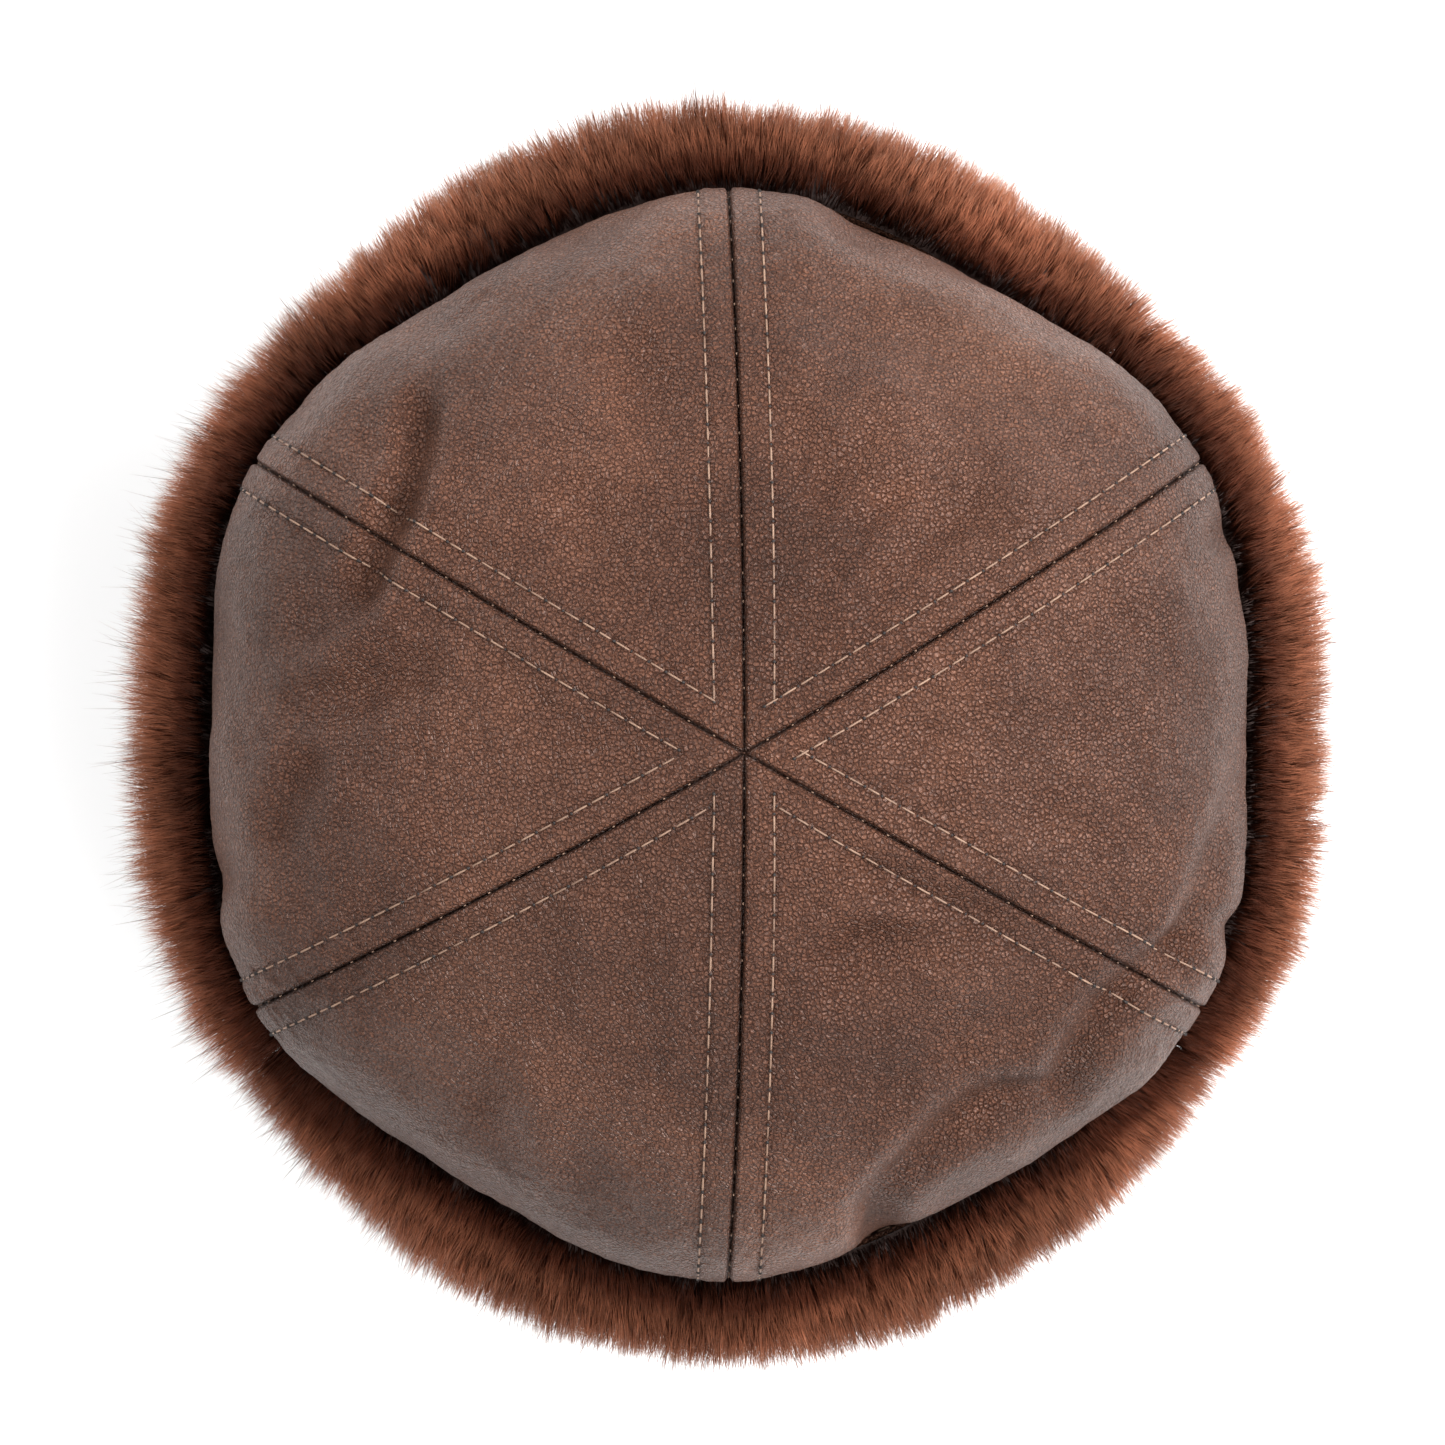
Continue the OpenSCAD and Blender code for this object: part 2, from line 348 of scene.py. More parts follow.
@dataclass(frozen=True)
class LeatherFinish:
    """Waxed brown leather with a fine pebble grain, rubbed lighter in patches."""

    name: str
    dark: tuple[float, float, float] = (0.029, 0.0115, 0.0070)
    middle: tuple[float, float, float] = (0.080, 0.0312, 0.0180)
    light: tuple[float, float, float] = (0.174, 0.0760, 0.0455)
    # groove is the colour of painted shade, which the stored groove mask blends in.
    groove: tuple[float, float, float] = (0.010, 0.005, 0.004)
    cell: float = 1050.0
    speckle: float = 1900.0
    patch: float = 15.0
    roughness: float = 0.40

    def material(self) -> bpy.types.Material:
        """Build the leather's nodes.

        Returns:
            The material.
        """
        s = Shader(self.name)
        patch = s.spread(s.noise(self.patch, 3.0), 0.34, 0.68, 0.16, 0.84)
        cloud = s.spread(s.noise(self.patch * 9, 3.0), 0.3, 0.7, -0.10, 0.10)
        fleck = s.spread(s.noise(self.speckle, 1.0), 0.34, 0.66, -0.42, 0.42)
        tone = s.maths("ADD", s.maths("ADD", patch, cloud), fleck)
        low = s.blend(s.spread(tone, -0.2, 0.6, 0.0, 1.0), self.dark, self.middle)
        colour = s.blend(s.spread(tone, 0.45, 1.35, 0.0, 1.0), low, self.light)
        # Painted shade: the stored groove mask darkens toward the groove colour in the seam grooves, stitch channels
        # and the flaps' sewn channel, and over the crown panels that face away from the light, with random darker
        # patches.
        shade = s.stored("groove")
        colour = s.blend(shade, colour, self.groove)
        edge = s.node(
            "ShaderNodeTexVoronoi", {"feature": "DISTANCE_TO_EDGE"}, Vector=s.place, Scale=self.cell
        ).outputs["Distance"]
        pebble = s.spread(edge, 0.0, 0.20, 0.0, 1.0)
        colour = s.blend(s.spread(pebble, 0.0, 0.8, 0.45, 0.0), colour, self.dark)
        grain = s.maths("ADD", s.maths("MULTIPLY", pebble, 0.8), s.maths("MULTIPLY", s.noise(self.speckle), 0.7))
        crinkle = s.maths("MULTIPLY", s.noise(330.0, 4.0), 1.8)
        height = s.maths("ADD", grain, crinkle)
        rough = s.spread(s.maths("ADD", tone, s.noise(900.0)), 0.2, 1.8, self.roughness + 0.09, self.roughness - 0.07)
        return s.finish(
            Base_Color=colour,
            Roughness=rough,
            Normal=s.bump(height, 0.00048, 0.9),
            Specular_IOR_Level=0.28,
            Specular_Tint=(1.0, 0.86, 0.80, 1.0),
        )


@dataclass(frozen=True)
class PileFinish:
    """Dyed pile: near black at the root, chestnut through the middle, tan at the tip."""

    name: str = "pile_fibres"
    root: tuple[float, float, float] = (0.012, 0.0030, 0.0018)
    low: tuple[float, float, float] = (0.078, 0.0200, 0.0095)
    high: tuple[float, float, float] = (0.345, 0.1220, 0.0640)
    tip: tuple[float, float, float] = (0.620, 0.3200, 0.2080)

    def material(self) -> bpy.types.Material:
        """Build the fibres' nodes: the map's V runs from root to tip, held lower at the tips near the crown as
        painted shade, and U is the fibre's tone.

        Returns:
            The material.
        """
        s = Shader(self.name)
        split = s.node(
            "ShaderNodeSeparateXYZ", Vector=s.node("ShaderNodeUVMap", {"uv_map": "OFBake"}).outputs[0]
        )
        tone, along = split.outputs[0], split.outputs[1]
        ramp = s.node("ShaderNodeValToRGB", Fac=along)
        stops = ((0.0, self.root), (0.34, self.low), (0.72, self.high), (1.0, self.tip))
        elements = ramp.color_ramp.elements
        while len(elements) < len(stops):
            elements.new(0.5)
        for element, (where, colour) in zip(elements, stops):
            element.position = where
            element.color = (*colour, 1.0)
        grey = s.spread(tone, 0.0, 1.0, 0.25, 1.45)
        level = s.node("ShaderNodeCombineColor", Red=grey, Green=grey, Blue=grey).outputs[0]
        colour = s.node(
            "ShaderNodeMix", {"data_type": "RGBA", "blend_type": "MULTIPLY", "clamp_result": False}, _0=1.0
        )
        s.material.node_tree.links.new(ramp.outputs[0], colour.inputs[6])
        s.material.node_tree.links.new(level, colour.inputs[7])
        return s.finish(
            Base_Color=colour.outputs[2],
            Roughness=0.5,
            Specular_IOR_Level=0.12,
            Specular_Tint=(1.0, 0.72, 0.58, 1.0),
        )


@dataclass(frozen=True)
class ClothFinish:
    """Woven cloth: two crossed sets of threads over one dyed colour."""

    name: str
    dark: tuple[float, float, float]
    light: tuple[float, float, float]
    threads: float = 2200.0
    roughness: float = 0.75
    sheen: float = 0.2
    bump: float = 0.00012

    def material(self) -> bpy.types.Material:
        """Build the cloth's nodes.

        Returns:
            The material.
        """
        s = Shader(self.name)
        weave = s.node(
            "ShaderNodeTexVoronoi", {"distance": "CHEBYCHEV"}, Vector=s.place, Scale=self.threads, Randomness=0.25
        ).outputs["Distance"]
        tone = s.maths("ADD", s.maths("MULTIPLY", weave, 0.6), s.maths("MULTIPLY", s.noise(90.0, 3.0), 0.8))
        colour = s.blend(s.spread(tone, 0.35, 0.95, 0.0, 1.0), self.dark, self.light)
        # The stored groove mask darkens toward a third of the dark colour: painted shade in the lining's quilting
        # creases and seams, and darker stripes along the sweatband's ribs.
        colour = s.blend(s.stored("groove"), colour, tuple(0.3 * c for c in self.dark))
        return s.finish(
            Base_Color=colour,
            Roughness=s.spread(tone, 0.3, 1.0, self.roughness, self.roughness - 0.12),
            Normal=s.bump(weave, self.bump, 0.5),
            Sheen_Weight=self.sheen,
            Sheen_Roughness=0.35,
        )


@dataclass(frozen=True)
class BrassFinish:
    """Antiqued brass, darker and duller where it has tarnished."""

    name: str = "antique_brass"
    bright: tuple[float, float, float] = (0.42, 0.29, 0.14)
    tarnish: tuple[float, float, float] = (0.11, 0.065, 0.032)

    def material(self) -> bpy.types.Material:
        """Build the metal's nodes.

        Returns:
            The material.
        """
        s = Shader(self.name)
        age = s.spread(s.noise(420.0, 4.0), 0.38, 0.68, 0.0, 1.0)
        return s.finish(
            Base_Color=s.blend(age, self.bright, self.tarnish),
            Metallic=1.0,
            Roughness=s.spread(age, 0.0, 1.0, 0.28, 0.55),
            Normal=s.bump(s.noise(3500.0), 0.00004, 0.4),
        )


@dataclass(frozen=True)
class ThreadFinish:
    """Twisted thread: fine slanting plies over one colour."""

    name: str
    dark: tuple[float, float, float]
    light: tuple[float, float, float]

    def material(self) -> bpy.types.Material:
        """Build the thread's nodes.

        Returns:
            The material.
        """
        s = Shader(self.name)
        ply = s.noise(5200.0, 1.0)
        tone = s.spread(s.maths("ADD", ply, s.noise(160.0)), 0.7, 1.35, 0.0, 1.0)
        return s.finish(
            Base_Color=s.blend(tone, self.dark, self.light),
            Roughness=s.spread(ply, 0.0, 1.0, 0.55, 0.75),
            Normal=s.bump(ply, 0.00008, 0.6),
        )


class Finish(Enum):
    """The finishes of the hat's pieces."""

    CROWN_LEATHER = LeatherFinish("crown_leather")
    FLAP_LEATHER = LeatherFinish("flap_leather", middle=(0.072, 0.0285, 0.0165), roughness=0.45)
    PILE = PileFinish()
    BACKING = ClothFinish("pile_backing", (0.012, 0.0045, 0.003), (0.030, 0.011, 0.007), 900.0, 0.9)
    LINING = ClothFinish("quilted_satin", (0.020, 0.012, 0.009), (0.050, 0.031, 0.024), 5200.0, 0.42, 0.1, 0.00003)
    BAND = ClothFinish("sweatband_cloth", (0.016, 0.011, 0.009), (0.040, 0.029, 0.024), 1700.0, 0.8)
    WADDING = ClothFinish("wadding", (0.55, 0.53, 0.49), (0.80, 0.78, 0.74), 700.0, 0.95, 0.3)
    BOARD = ClothFinish("visor_board_felt", (0.30, 0.27, 0.23), (0.46, 0.43, 0.38), 1200.0, 0.9)
    LABEL = ClothFinish("woven_label", (0.36, 0.29, 0.20), (0.58, 0.49, 0.36), 2600.0, 0.7)
    THREAD = ThreadFinish("tan_thread", (0.115, 0.062, 0.040), (0.30, 0.185, 0.125))
    DARK_THREAD = ThreadFinish("dark_thread", (0.022, 0.012, 0.008), (0.070, 0.040, 0.028))
    # Painted shade: the colour of the dark discs that stand in for the shade inside the needle holes.
    HOLE = ThreadFinish("needle_hole", (0.006, 0.003, 0.002), (0.016, 0.008, 0.006))
    BRASS = BrassFinish()


class Wardrobe:
    """Keeps one material for each finish and dresses pieces with it."""

    def __init__(self) -> None:
        """Start with nothing made."""
        self.made: dict[Finish, bpy.types.Material] = {}

    def dress(self, piece: Piece, finish: Finish) -> Piece:
        """Give a piece its only material.

        Args:
            piece: The mesh object.
            finish: Its finish.

        Returns:
            The piece.
        """
        if finish not in self.made:
            self.made[finish] = finish.value.material()
        piece.data.materials.clear()
        piece.data.materials.append(self.made[finish])
        return piece


WARDROBE = Wardrobe()


def fit(piece: Piece, finish: Finish, body: str = "root", replaces: tuple[str, ...] = ()) -> Piece:
    """Dress a piece, seat it on its body and hide the CAD nodes it stands for.

    Args:
        piece: The finished mesh object.
        finish: Its finish.
        body: The body it rides on.
        replaces: CAD nodes it stands for.

    Returns:
        The piece.
    """
    WARDROBE.dress(piece, finish)
    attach(piece, body)
    if replaces:
        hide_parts(*replaces)
    LOG.info("%s on %s: %d faces", piece.name, body, len(piece.data.polygons))
    return piece


# ---- The crown's shape ------------------------------------------------------------------------------


@dataclass(frozen=True)
class Fold:
    """A crease or a ridge across the crown, between two points seen from above the apex.

    start and end are (bearing in degrees, distance from the apex in mm). Depth is in mm, and below
    zero for a ridge. The height across it is -depth * exp(-(d / width)^2), with a lip on each side
    a third as high, and it fades out past both ends.
    """

    start: tuple[float, float]
    end: tuple[float, float]
    depth: float
    width: float
    bow: float = 0.0

    def height(self, plan: Array) -> Array:
        """Height in metres that the fold adds at points seen from above, measured from the apex.

        Args:
            plan: Places in plan.

        Returns:
            Heights, one for each place.
        """
        a, b = (
            np.array([math.cos(math.radians(q)), math.sin(math.radians(q))]) * r * MM
            for q, r in (self.start, self.end)
        )
        along = unit(b - a)
        length = float(np.linalg.norm(b - a))
        rel = plan - a
        t = rel @ along
        share = np.clip(t / length, 0.0, 1.0)
        d = rel @ np.array([-along[1], along[0]]) - self.bow * MM * 4 * share * (1 - share)
        w = self.width * MM
        ends = smooth((t + 0.2 * length) / (0.4 * length)) * smooth((1.2 * length - t) / (0.4 * length))
        across = bell(d, w) - 0.33 * (bell(d - 2.1 * w, 1.1 * w) + bell(d + 2.1 * w, 1.1 * w))
        return -self.depth * MM * across * ends


@dataclass
class CrownShape:
    """The crown's faces at every depth, from the rim to the apex.

    Up the side the radius goes from the rim's oval to a rounded hexagon at the widest level, nearly
    upright and then swelling over the flaps. Above it is a quarter ellipse whose centre drifts
    toward the apex. v is 0 at the rim, 1 at the widest level and 2 at the apex.
    """

    rim: tuple[float, float] = field(default_factory=lambda: tuple(node_box("rim_binding")[1][:2]))
    rim_top: float = field(default_factory=lambda: float(node_box("rim_binding")[1][2]) + 0.2 * MM)
    apex_z: float = field(default_factory=lambda: float(node_box("crown_panel_left")[1][2]))
    seam_radius: float = 108.0 * MM
    middle_radius: float = 102.5 * MM
    widest_z: float = 84.0 * MM
    apex: tuple[float, float] = (3.0 * MM, -3.5 * MM)
    bulge_start: float = 0.65
    lean: float = 0.2
    seam_half: float = 6.1 * MM
    folds: tuple[Fold, ...] = (
        Fold((132.5, 93), (145, 82), 2.8, 2.8, 1.0),
        Fold((143, 83), (158, 80), 3.2, 3.0, -1.0),
        Fold((157, 73), (169, 84), -2.4, 4.6),
        Fold((164, 62), (174, 88), 1.7, 3.8),
        Fold((180, 84), (191, 93), 2.2, 3.4),
        Fold((-4, 98), (-27, 95), 2.4, 3.2, -1.5),
        Fold((-22, 96), (-48, 92), 3.0, 3.4, -5.0),
        Fold((-46, 92), (-74, 93), 3.0, 3.6, -7.0),
        Fold((66, 33), (59, 60), 1.2, 3.4, 1.5),
        Fold((74, 40), (68, 68), 1.2, 3.8, 1.5),
        Fold((52, 36), (47, 66), 1.0, 3.6, 1.0),
        Fold((80, 62), (74, 88), 0.8, 4.2),
        Fold((-47, 30), (-33, 60), 1.7, 3.2),
        Fold((-68, 44), (-39, 58), 1.7, 4.2, 3.0),
        Fold((-80, 60), (-62, 76), 0.7, 4.6),
        Fold((221, 42), (238, 60), -1.1, 4.4, 2.0),
        Fold((237, 74), (245, 92), -1.0, 4.0),
        Fold((228, 66), (234, 90), 0.9, 3.6),
        Fold((8, 45), (4, 78), 0.7, 4.4),
        Fold((-12, 52), (-14, 86), 0.8, 4.6),
        Fold((20, 60), (18, 90), 0.6, 4.0),
        Fold((196, 58), (203, 84), 0.8, 4.6),
        Fold((168, 40), (160, 58), 0.6, 4.0),
        Fold((108, 50), (104, 86), 0.6, 4.8),
        Fold((124, 46), (119, 82), 0.7, 4.8, 1.5),
    )
    dents: tuple[tuple[float, float, float], ...] = (
        (-73.0, 5.5, 4.5), (-21.0, 2.4, 3.5), (22.0, 1.6, 3.0), (75.0, 2.8, 9.0), (196.0, 1.6, 4.0),
    )

    def wide(self, q: Array) -> Array:
        """Radius of the widest level: largest at the seams, with six corners."""
        middle, swing = (self.seam_radius + self.middle_radius) / 2, (self.seam_radius - self.middle_radius) / 2
        return middle + swing * np.cos(6.0 * (q - math.pi / 2))

    def oval(self, q: Array, grow: float = 0.0) -> Array:
        """Radius of the rim's oval, grown outward by a distance."""
        a, b = self.rim[0] + grow, self.rim[1] + grow
        return a * b / np.hypot(b * np.cos(q), a * np.sin(q))

    def side(self, q: Array, z: Array) -> Array:
        """Radius of the upright side at a height.

        Args:
            q: Bearings.
            z: Heights.

        Returns:
            Radii.
        """
        t = np.clip(z / self.widest_z, 0.0, 1.0)
        share = self.lean * t + (1.0 - self.lean) * smooth((t - self.bulge_start) / (1.0 - self.bulge_start))
        return mix(self.oval(q), self.wide(q), share)

    def base(self, q: Array, v: Array) -> Array:
        """Points of the smooth outer face.

        Args:
            q: Bearings.
            v: Shares of the way up: 0 at the rim, 1 at the widest level, 2 at the apex.

        Returns:
            Points.
        """
        a = np.clip(v - 1.0, 0.0, 1.0) * math.pi / 2
        z_side = self.rim_top + (self.widest_z - self.rim_top) * np.minimum(v, 1.0)
        low = v < 1.0
        r = np.where(low, self.side(q, z_side), self.wide(q) * np.cos(a))
        z = np.where(low, z_side, self.widest_z + (self.apex_z - self.widest_z) * np.sin(a))
        drift = np.sin(a) ** 2
        return np.stack([self.apex[0] * drift + r * np.cos(q), self.apex[1] * drift + r * np.sin(q), z], -1)

    def normal(self, q: Array, v: Array) -> Array:
        """Outward normals of the smooth face, from small differences.

        Args:
            q: Bearings.
            v: Shares of the way up: 0 at the rim, 1 at the widest level, 2 at the apex.

        Returns:
            Unit vectors.
        """
        e = 1e-4
        dq = self.base(q + e, v) - self.base(q - e, v)
        dv = self.base(q, np.minimum(v + e, 1.9995)) - self.base(q, np.minimum(v, 1.9995) - e)
        return unit(np.cross(dq, dv))

    def from_seam(self, q: Array, v: Array) -> tuple[Array, Array]:
        """Signed distance to the nearest seam along the face, and that seam's bearing.

        Args:
            q: Bearings.
            v: Shares of the way up: 0 at the rim, 1 at the widest level, 2 at the apex.

        Returns:
            Distances and bearings.
        """
        step = math.pi / 3
        seam = np.round((q - math.pi / 6) / step) * step + math.pi / 6
        a = np.clip(v - 1.0, 0.0, 1.0) * math.pi / 2
        return self.wide(q) * np.cos(a) * np.sin(q - seam), seam

    def soft(self, q: Array, v: Array) -> Array:
        """Height of the folds, dents and puckers that every layer shares.

        Args:
            q: Bearings.
            v: Shares of the way up, 0 to 2.

        Returns:
            Heights in metres along the normal.
        """
        p = self.base(q, v)
        plan = p[..., :2] - np.array(self.apex)
        top = smooth((v - 0.92) / 0.2)
        total = sum(f.height(plan) for f in self.folds) * top
        edge = bell(v - 1.12, 0.20)
        for bearing, depth, width in self.dents:
            gap = np.angle(np.exp(1j * (q - math.radians(bearing))))
            total = total - depth * MM * bell(gap * self.middle_radius, width * MM) * edge
        s, _ = self.from_seam(q, v)
        away = smooth((np.abs(s) - 4 * MM) / (12 * MM))
        total = total + 0.95 * MM * ripple(p, 44 * MM, 11) * away * top
        total = total + 0.34 * MM * ripple(p, 17 * MM, 12) * (0.35 + 0.65 * away) * (0.4 + 0.6 * top)
        puff = bell(v - 1.30, 0.16) + 0.5 * bell(v - 1.6, 0.25)
        return total + 0.9 * MM * puff * away

    def relief(self, q: Array, v: Array) -> tuple[Array, Array]:
        """Height of the sewn detail on the outer face, and how much painted shade each point gets in the seam groove
        and the stitch channels.

        The seam is a narrow groove, -1.25 exp(-(s / 0.7)^2) mm. Both sides are raised to the rows
        of stitches, where the thread pulls a shallow channel, and short puckers cross the rows.

        Args:
            q: Bearings.
            v: Shares of the way up.

        Returns:
            Heights in metres, and groove shares from 0 to 1.
        """
        s, seam = self.from_seam(q, v)
        d = np.abs(s)
        p = self.base(q, v)
        radius = np.hypot(p[..., 0], p[..., 1])
        groove = bell(s, 0.5 * MM)
        channel = bell(d - self.seam_half, 0.8 * MM)
        band = 1.0 - smooth((d - self.seam_half + 0.6 * MM) / (2.4 * MM))
        run = np.where(v < 1.0, p[..., 2], self.widest_z + (v - 1.0) * 0.128)
        pucker = np.cos(TAU * run / (4.3 * MM) + 3.0 * seam) * bell(d - self.seam_half, 2.6 * MM)
        strong = bell(np.angle(np.exp(1j * (seam - math.radians(210)))), 0.3) * smooth((radius - 45 * MM) / (12 * MM))
        crimp = np.cos(TAU * run / (2.9 * MM) + 2.2 * ripple(p, 9 * MM, 31)) * bell(d, 6.5 * MM) * strong
        crimp = crimp * (1.0 - groove)
        height = -1.2 * groove - 0.34 * channel + 0.34 * band + 0.10 * pucker + 0.26 * crimp
        fine = 0.10 * ripple(p, 4.2 * MM, 13) + 0.07 * ripple(p, 2.3 * MM, 14, 26)
        centre = bell(np.hypot(p[..., 0] - self.apex[0], p[..., 1] - self.apex[1]), 3.2 * MM)
        height = height * (1.0 - 0.7 * centre) - 0.9 * centre + fine
        # The second value is painted shade: strongest in the seam groove, lighter in the stitch channels.
        return height * MM, np.clip(bell(s, 0.34 * MM) + 0.22 * channel, 0.0, 1.0)

    def layer(self, q: Array, v: Array, depth: float | Array) -> Array:
        """Points at a depth below the outer face, folded as the face is."""
        return self.base(q, v) + self.normal(q, v) * (self.soft(q, v) - depth)[..., None]


SHAPE = CrownShape()


class PanelName(Enum):
    """The crown's six panels, by number counterclockwise from the wearer's left."""

    left = 0
    back_left = 1
    back_right = 2
    right = 3
    front_right = 4
    front_left = 5


# ---- Sewing -----------------------------------------------------------------------------------------------


@dataclass
class Stitching:
    """Running stitches along a path: short thick threads that dive at both ends into needle holes."""

    pitch: float = 3.95 * MM
    length: float = 3.75 * MM
    thickness: float = 0.40 * MM
    rings: int = 7
    sides: int = 6

    def threads(self, place: Array, along: Array, up: Array) -> tuple[Array, Array]:
        """Points and faces of stitches at given places.

        The thread's middle line is an arch: along the path x, and up by 0.30 - 1.1 x^4 thicknesses
        for x from -1 to 1. Its section is an ellipse that narrows to the ends.

        Args:
            place: Middle of each stitch.
            along: Direction of each.
            up: Surface normal at each.

        Returns:
            Points and faces, with both ends closed by the last ring's own points.
        """
        n, k, m = len(place), self.rings, self.sides
        x = np.linspace(-1.0, 1.0, k)
        rise = (0.30 - 1.1 * x**4) * self.thickness
        wide = self.thickness / 2 * np.sqrt(np.clip(1.02 - np.abs(x) ** 5, 0.02, 1.0))
        side = unit(np.cross(up, along))
        angle = np.arange(m) * TAU / m
        centre = place[:, None] + along[:, None] * (x * self.length / 2)[:, None] + up[:, None] * rise[:, None]
        ring = (
            side[:, None, None] * np.cos(angle)[:, None] * wide[:, None, None]
            + up[:, None, None] * np.sin(angle)[:, None] * wide[:, None, None] * 0.85
        )
        points = (centre[:, :, None] + ring).reshape(-1, 3)
        first = np.arange(n)[:, None, None] * k * m
        i, j = np.arange(k - 1)[None, :, None], np.arange(m)[None, None, :]
        a, b = first + i * m + j, first + i * m + (j + 1) % m
        sides = np.stack([a, a + m, b + m, b], -1).reshape(-1, 4)
        ends = []
        for at, order in ((0, (0, 1, 2, 3)), (k - 1, (3, 2, 1, 0))):
            o = (np.arange(n) * k * m + at * m)[:, None]
            ends += [o + np.array(order), o + np.array((0, 3, 4, 5) if at == 0 else (5, 4, 3, 0))]
        return points, np.concatenate([sides, *ends])

    def sew(self, name: str, rows: list[tuple[Array, Array]], finish: Finish, body: str) -> Piece:
        """Sew rows of stitches as one piece.

        Args:
            name: The piece's name.
            rows: A dense path and its normals for each row.
            finish: The thread's finish.
            body: The body it rides on.

        Returns:
            The piece.
        """
        spots = [spaced(path, up, self.pitch) for path, up in rows]
        place, along, up = (np.concatenate([s[k] for s in spots]) for k in range(3))
        points, quads = self.threads(place, along, up)
        return fit(make_mesh(name, points, quads), finish, body)


# ---- Crown, lining, rim and band -----------------------------------------------------------------------


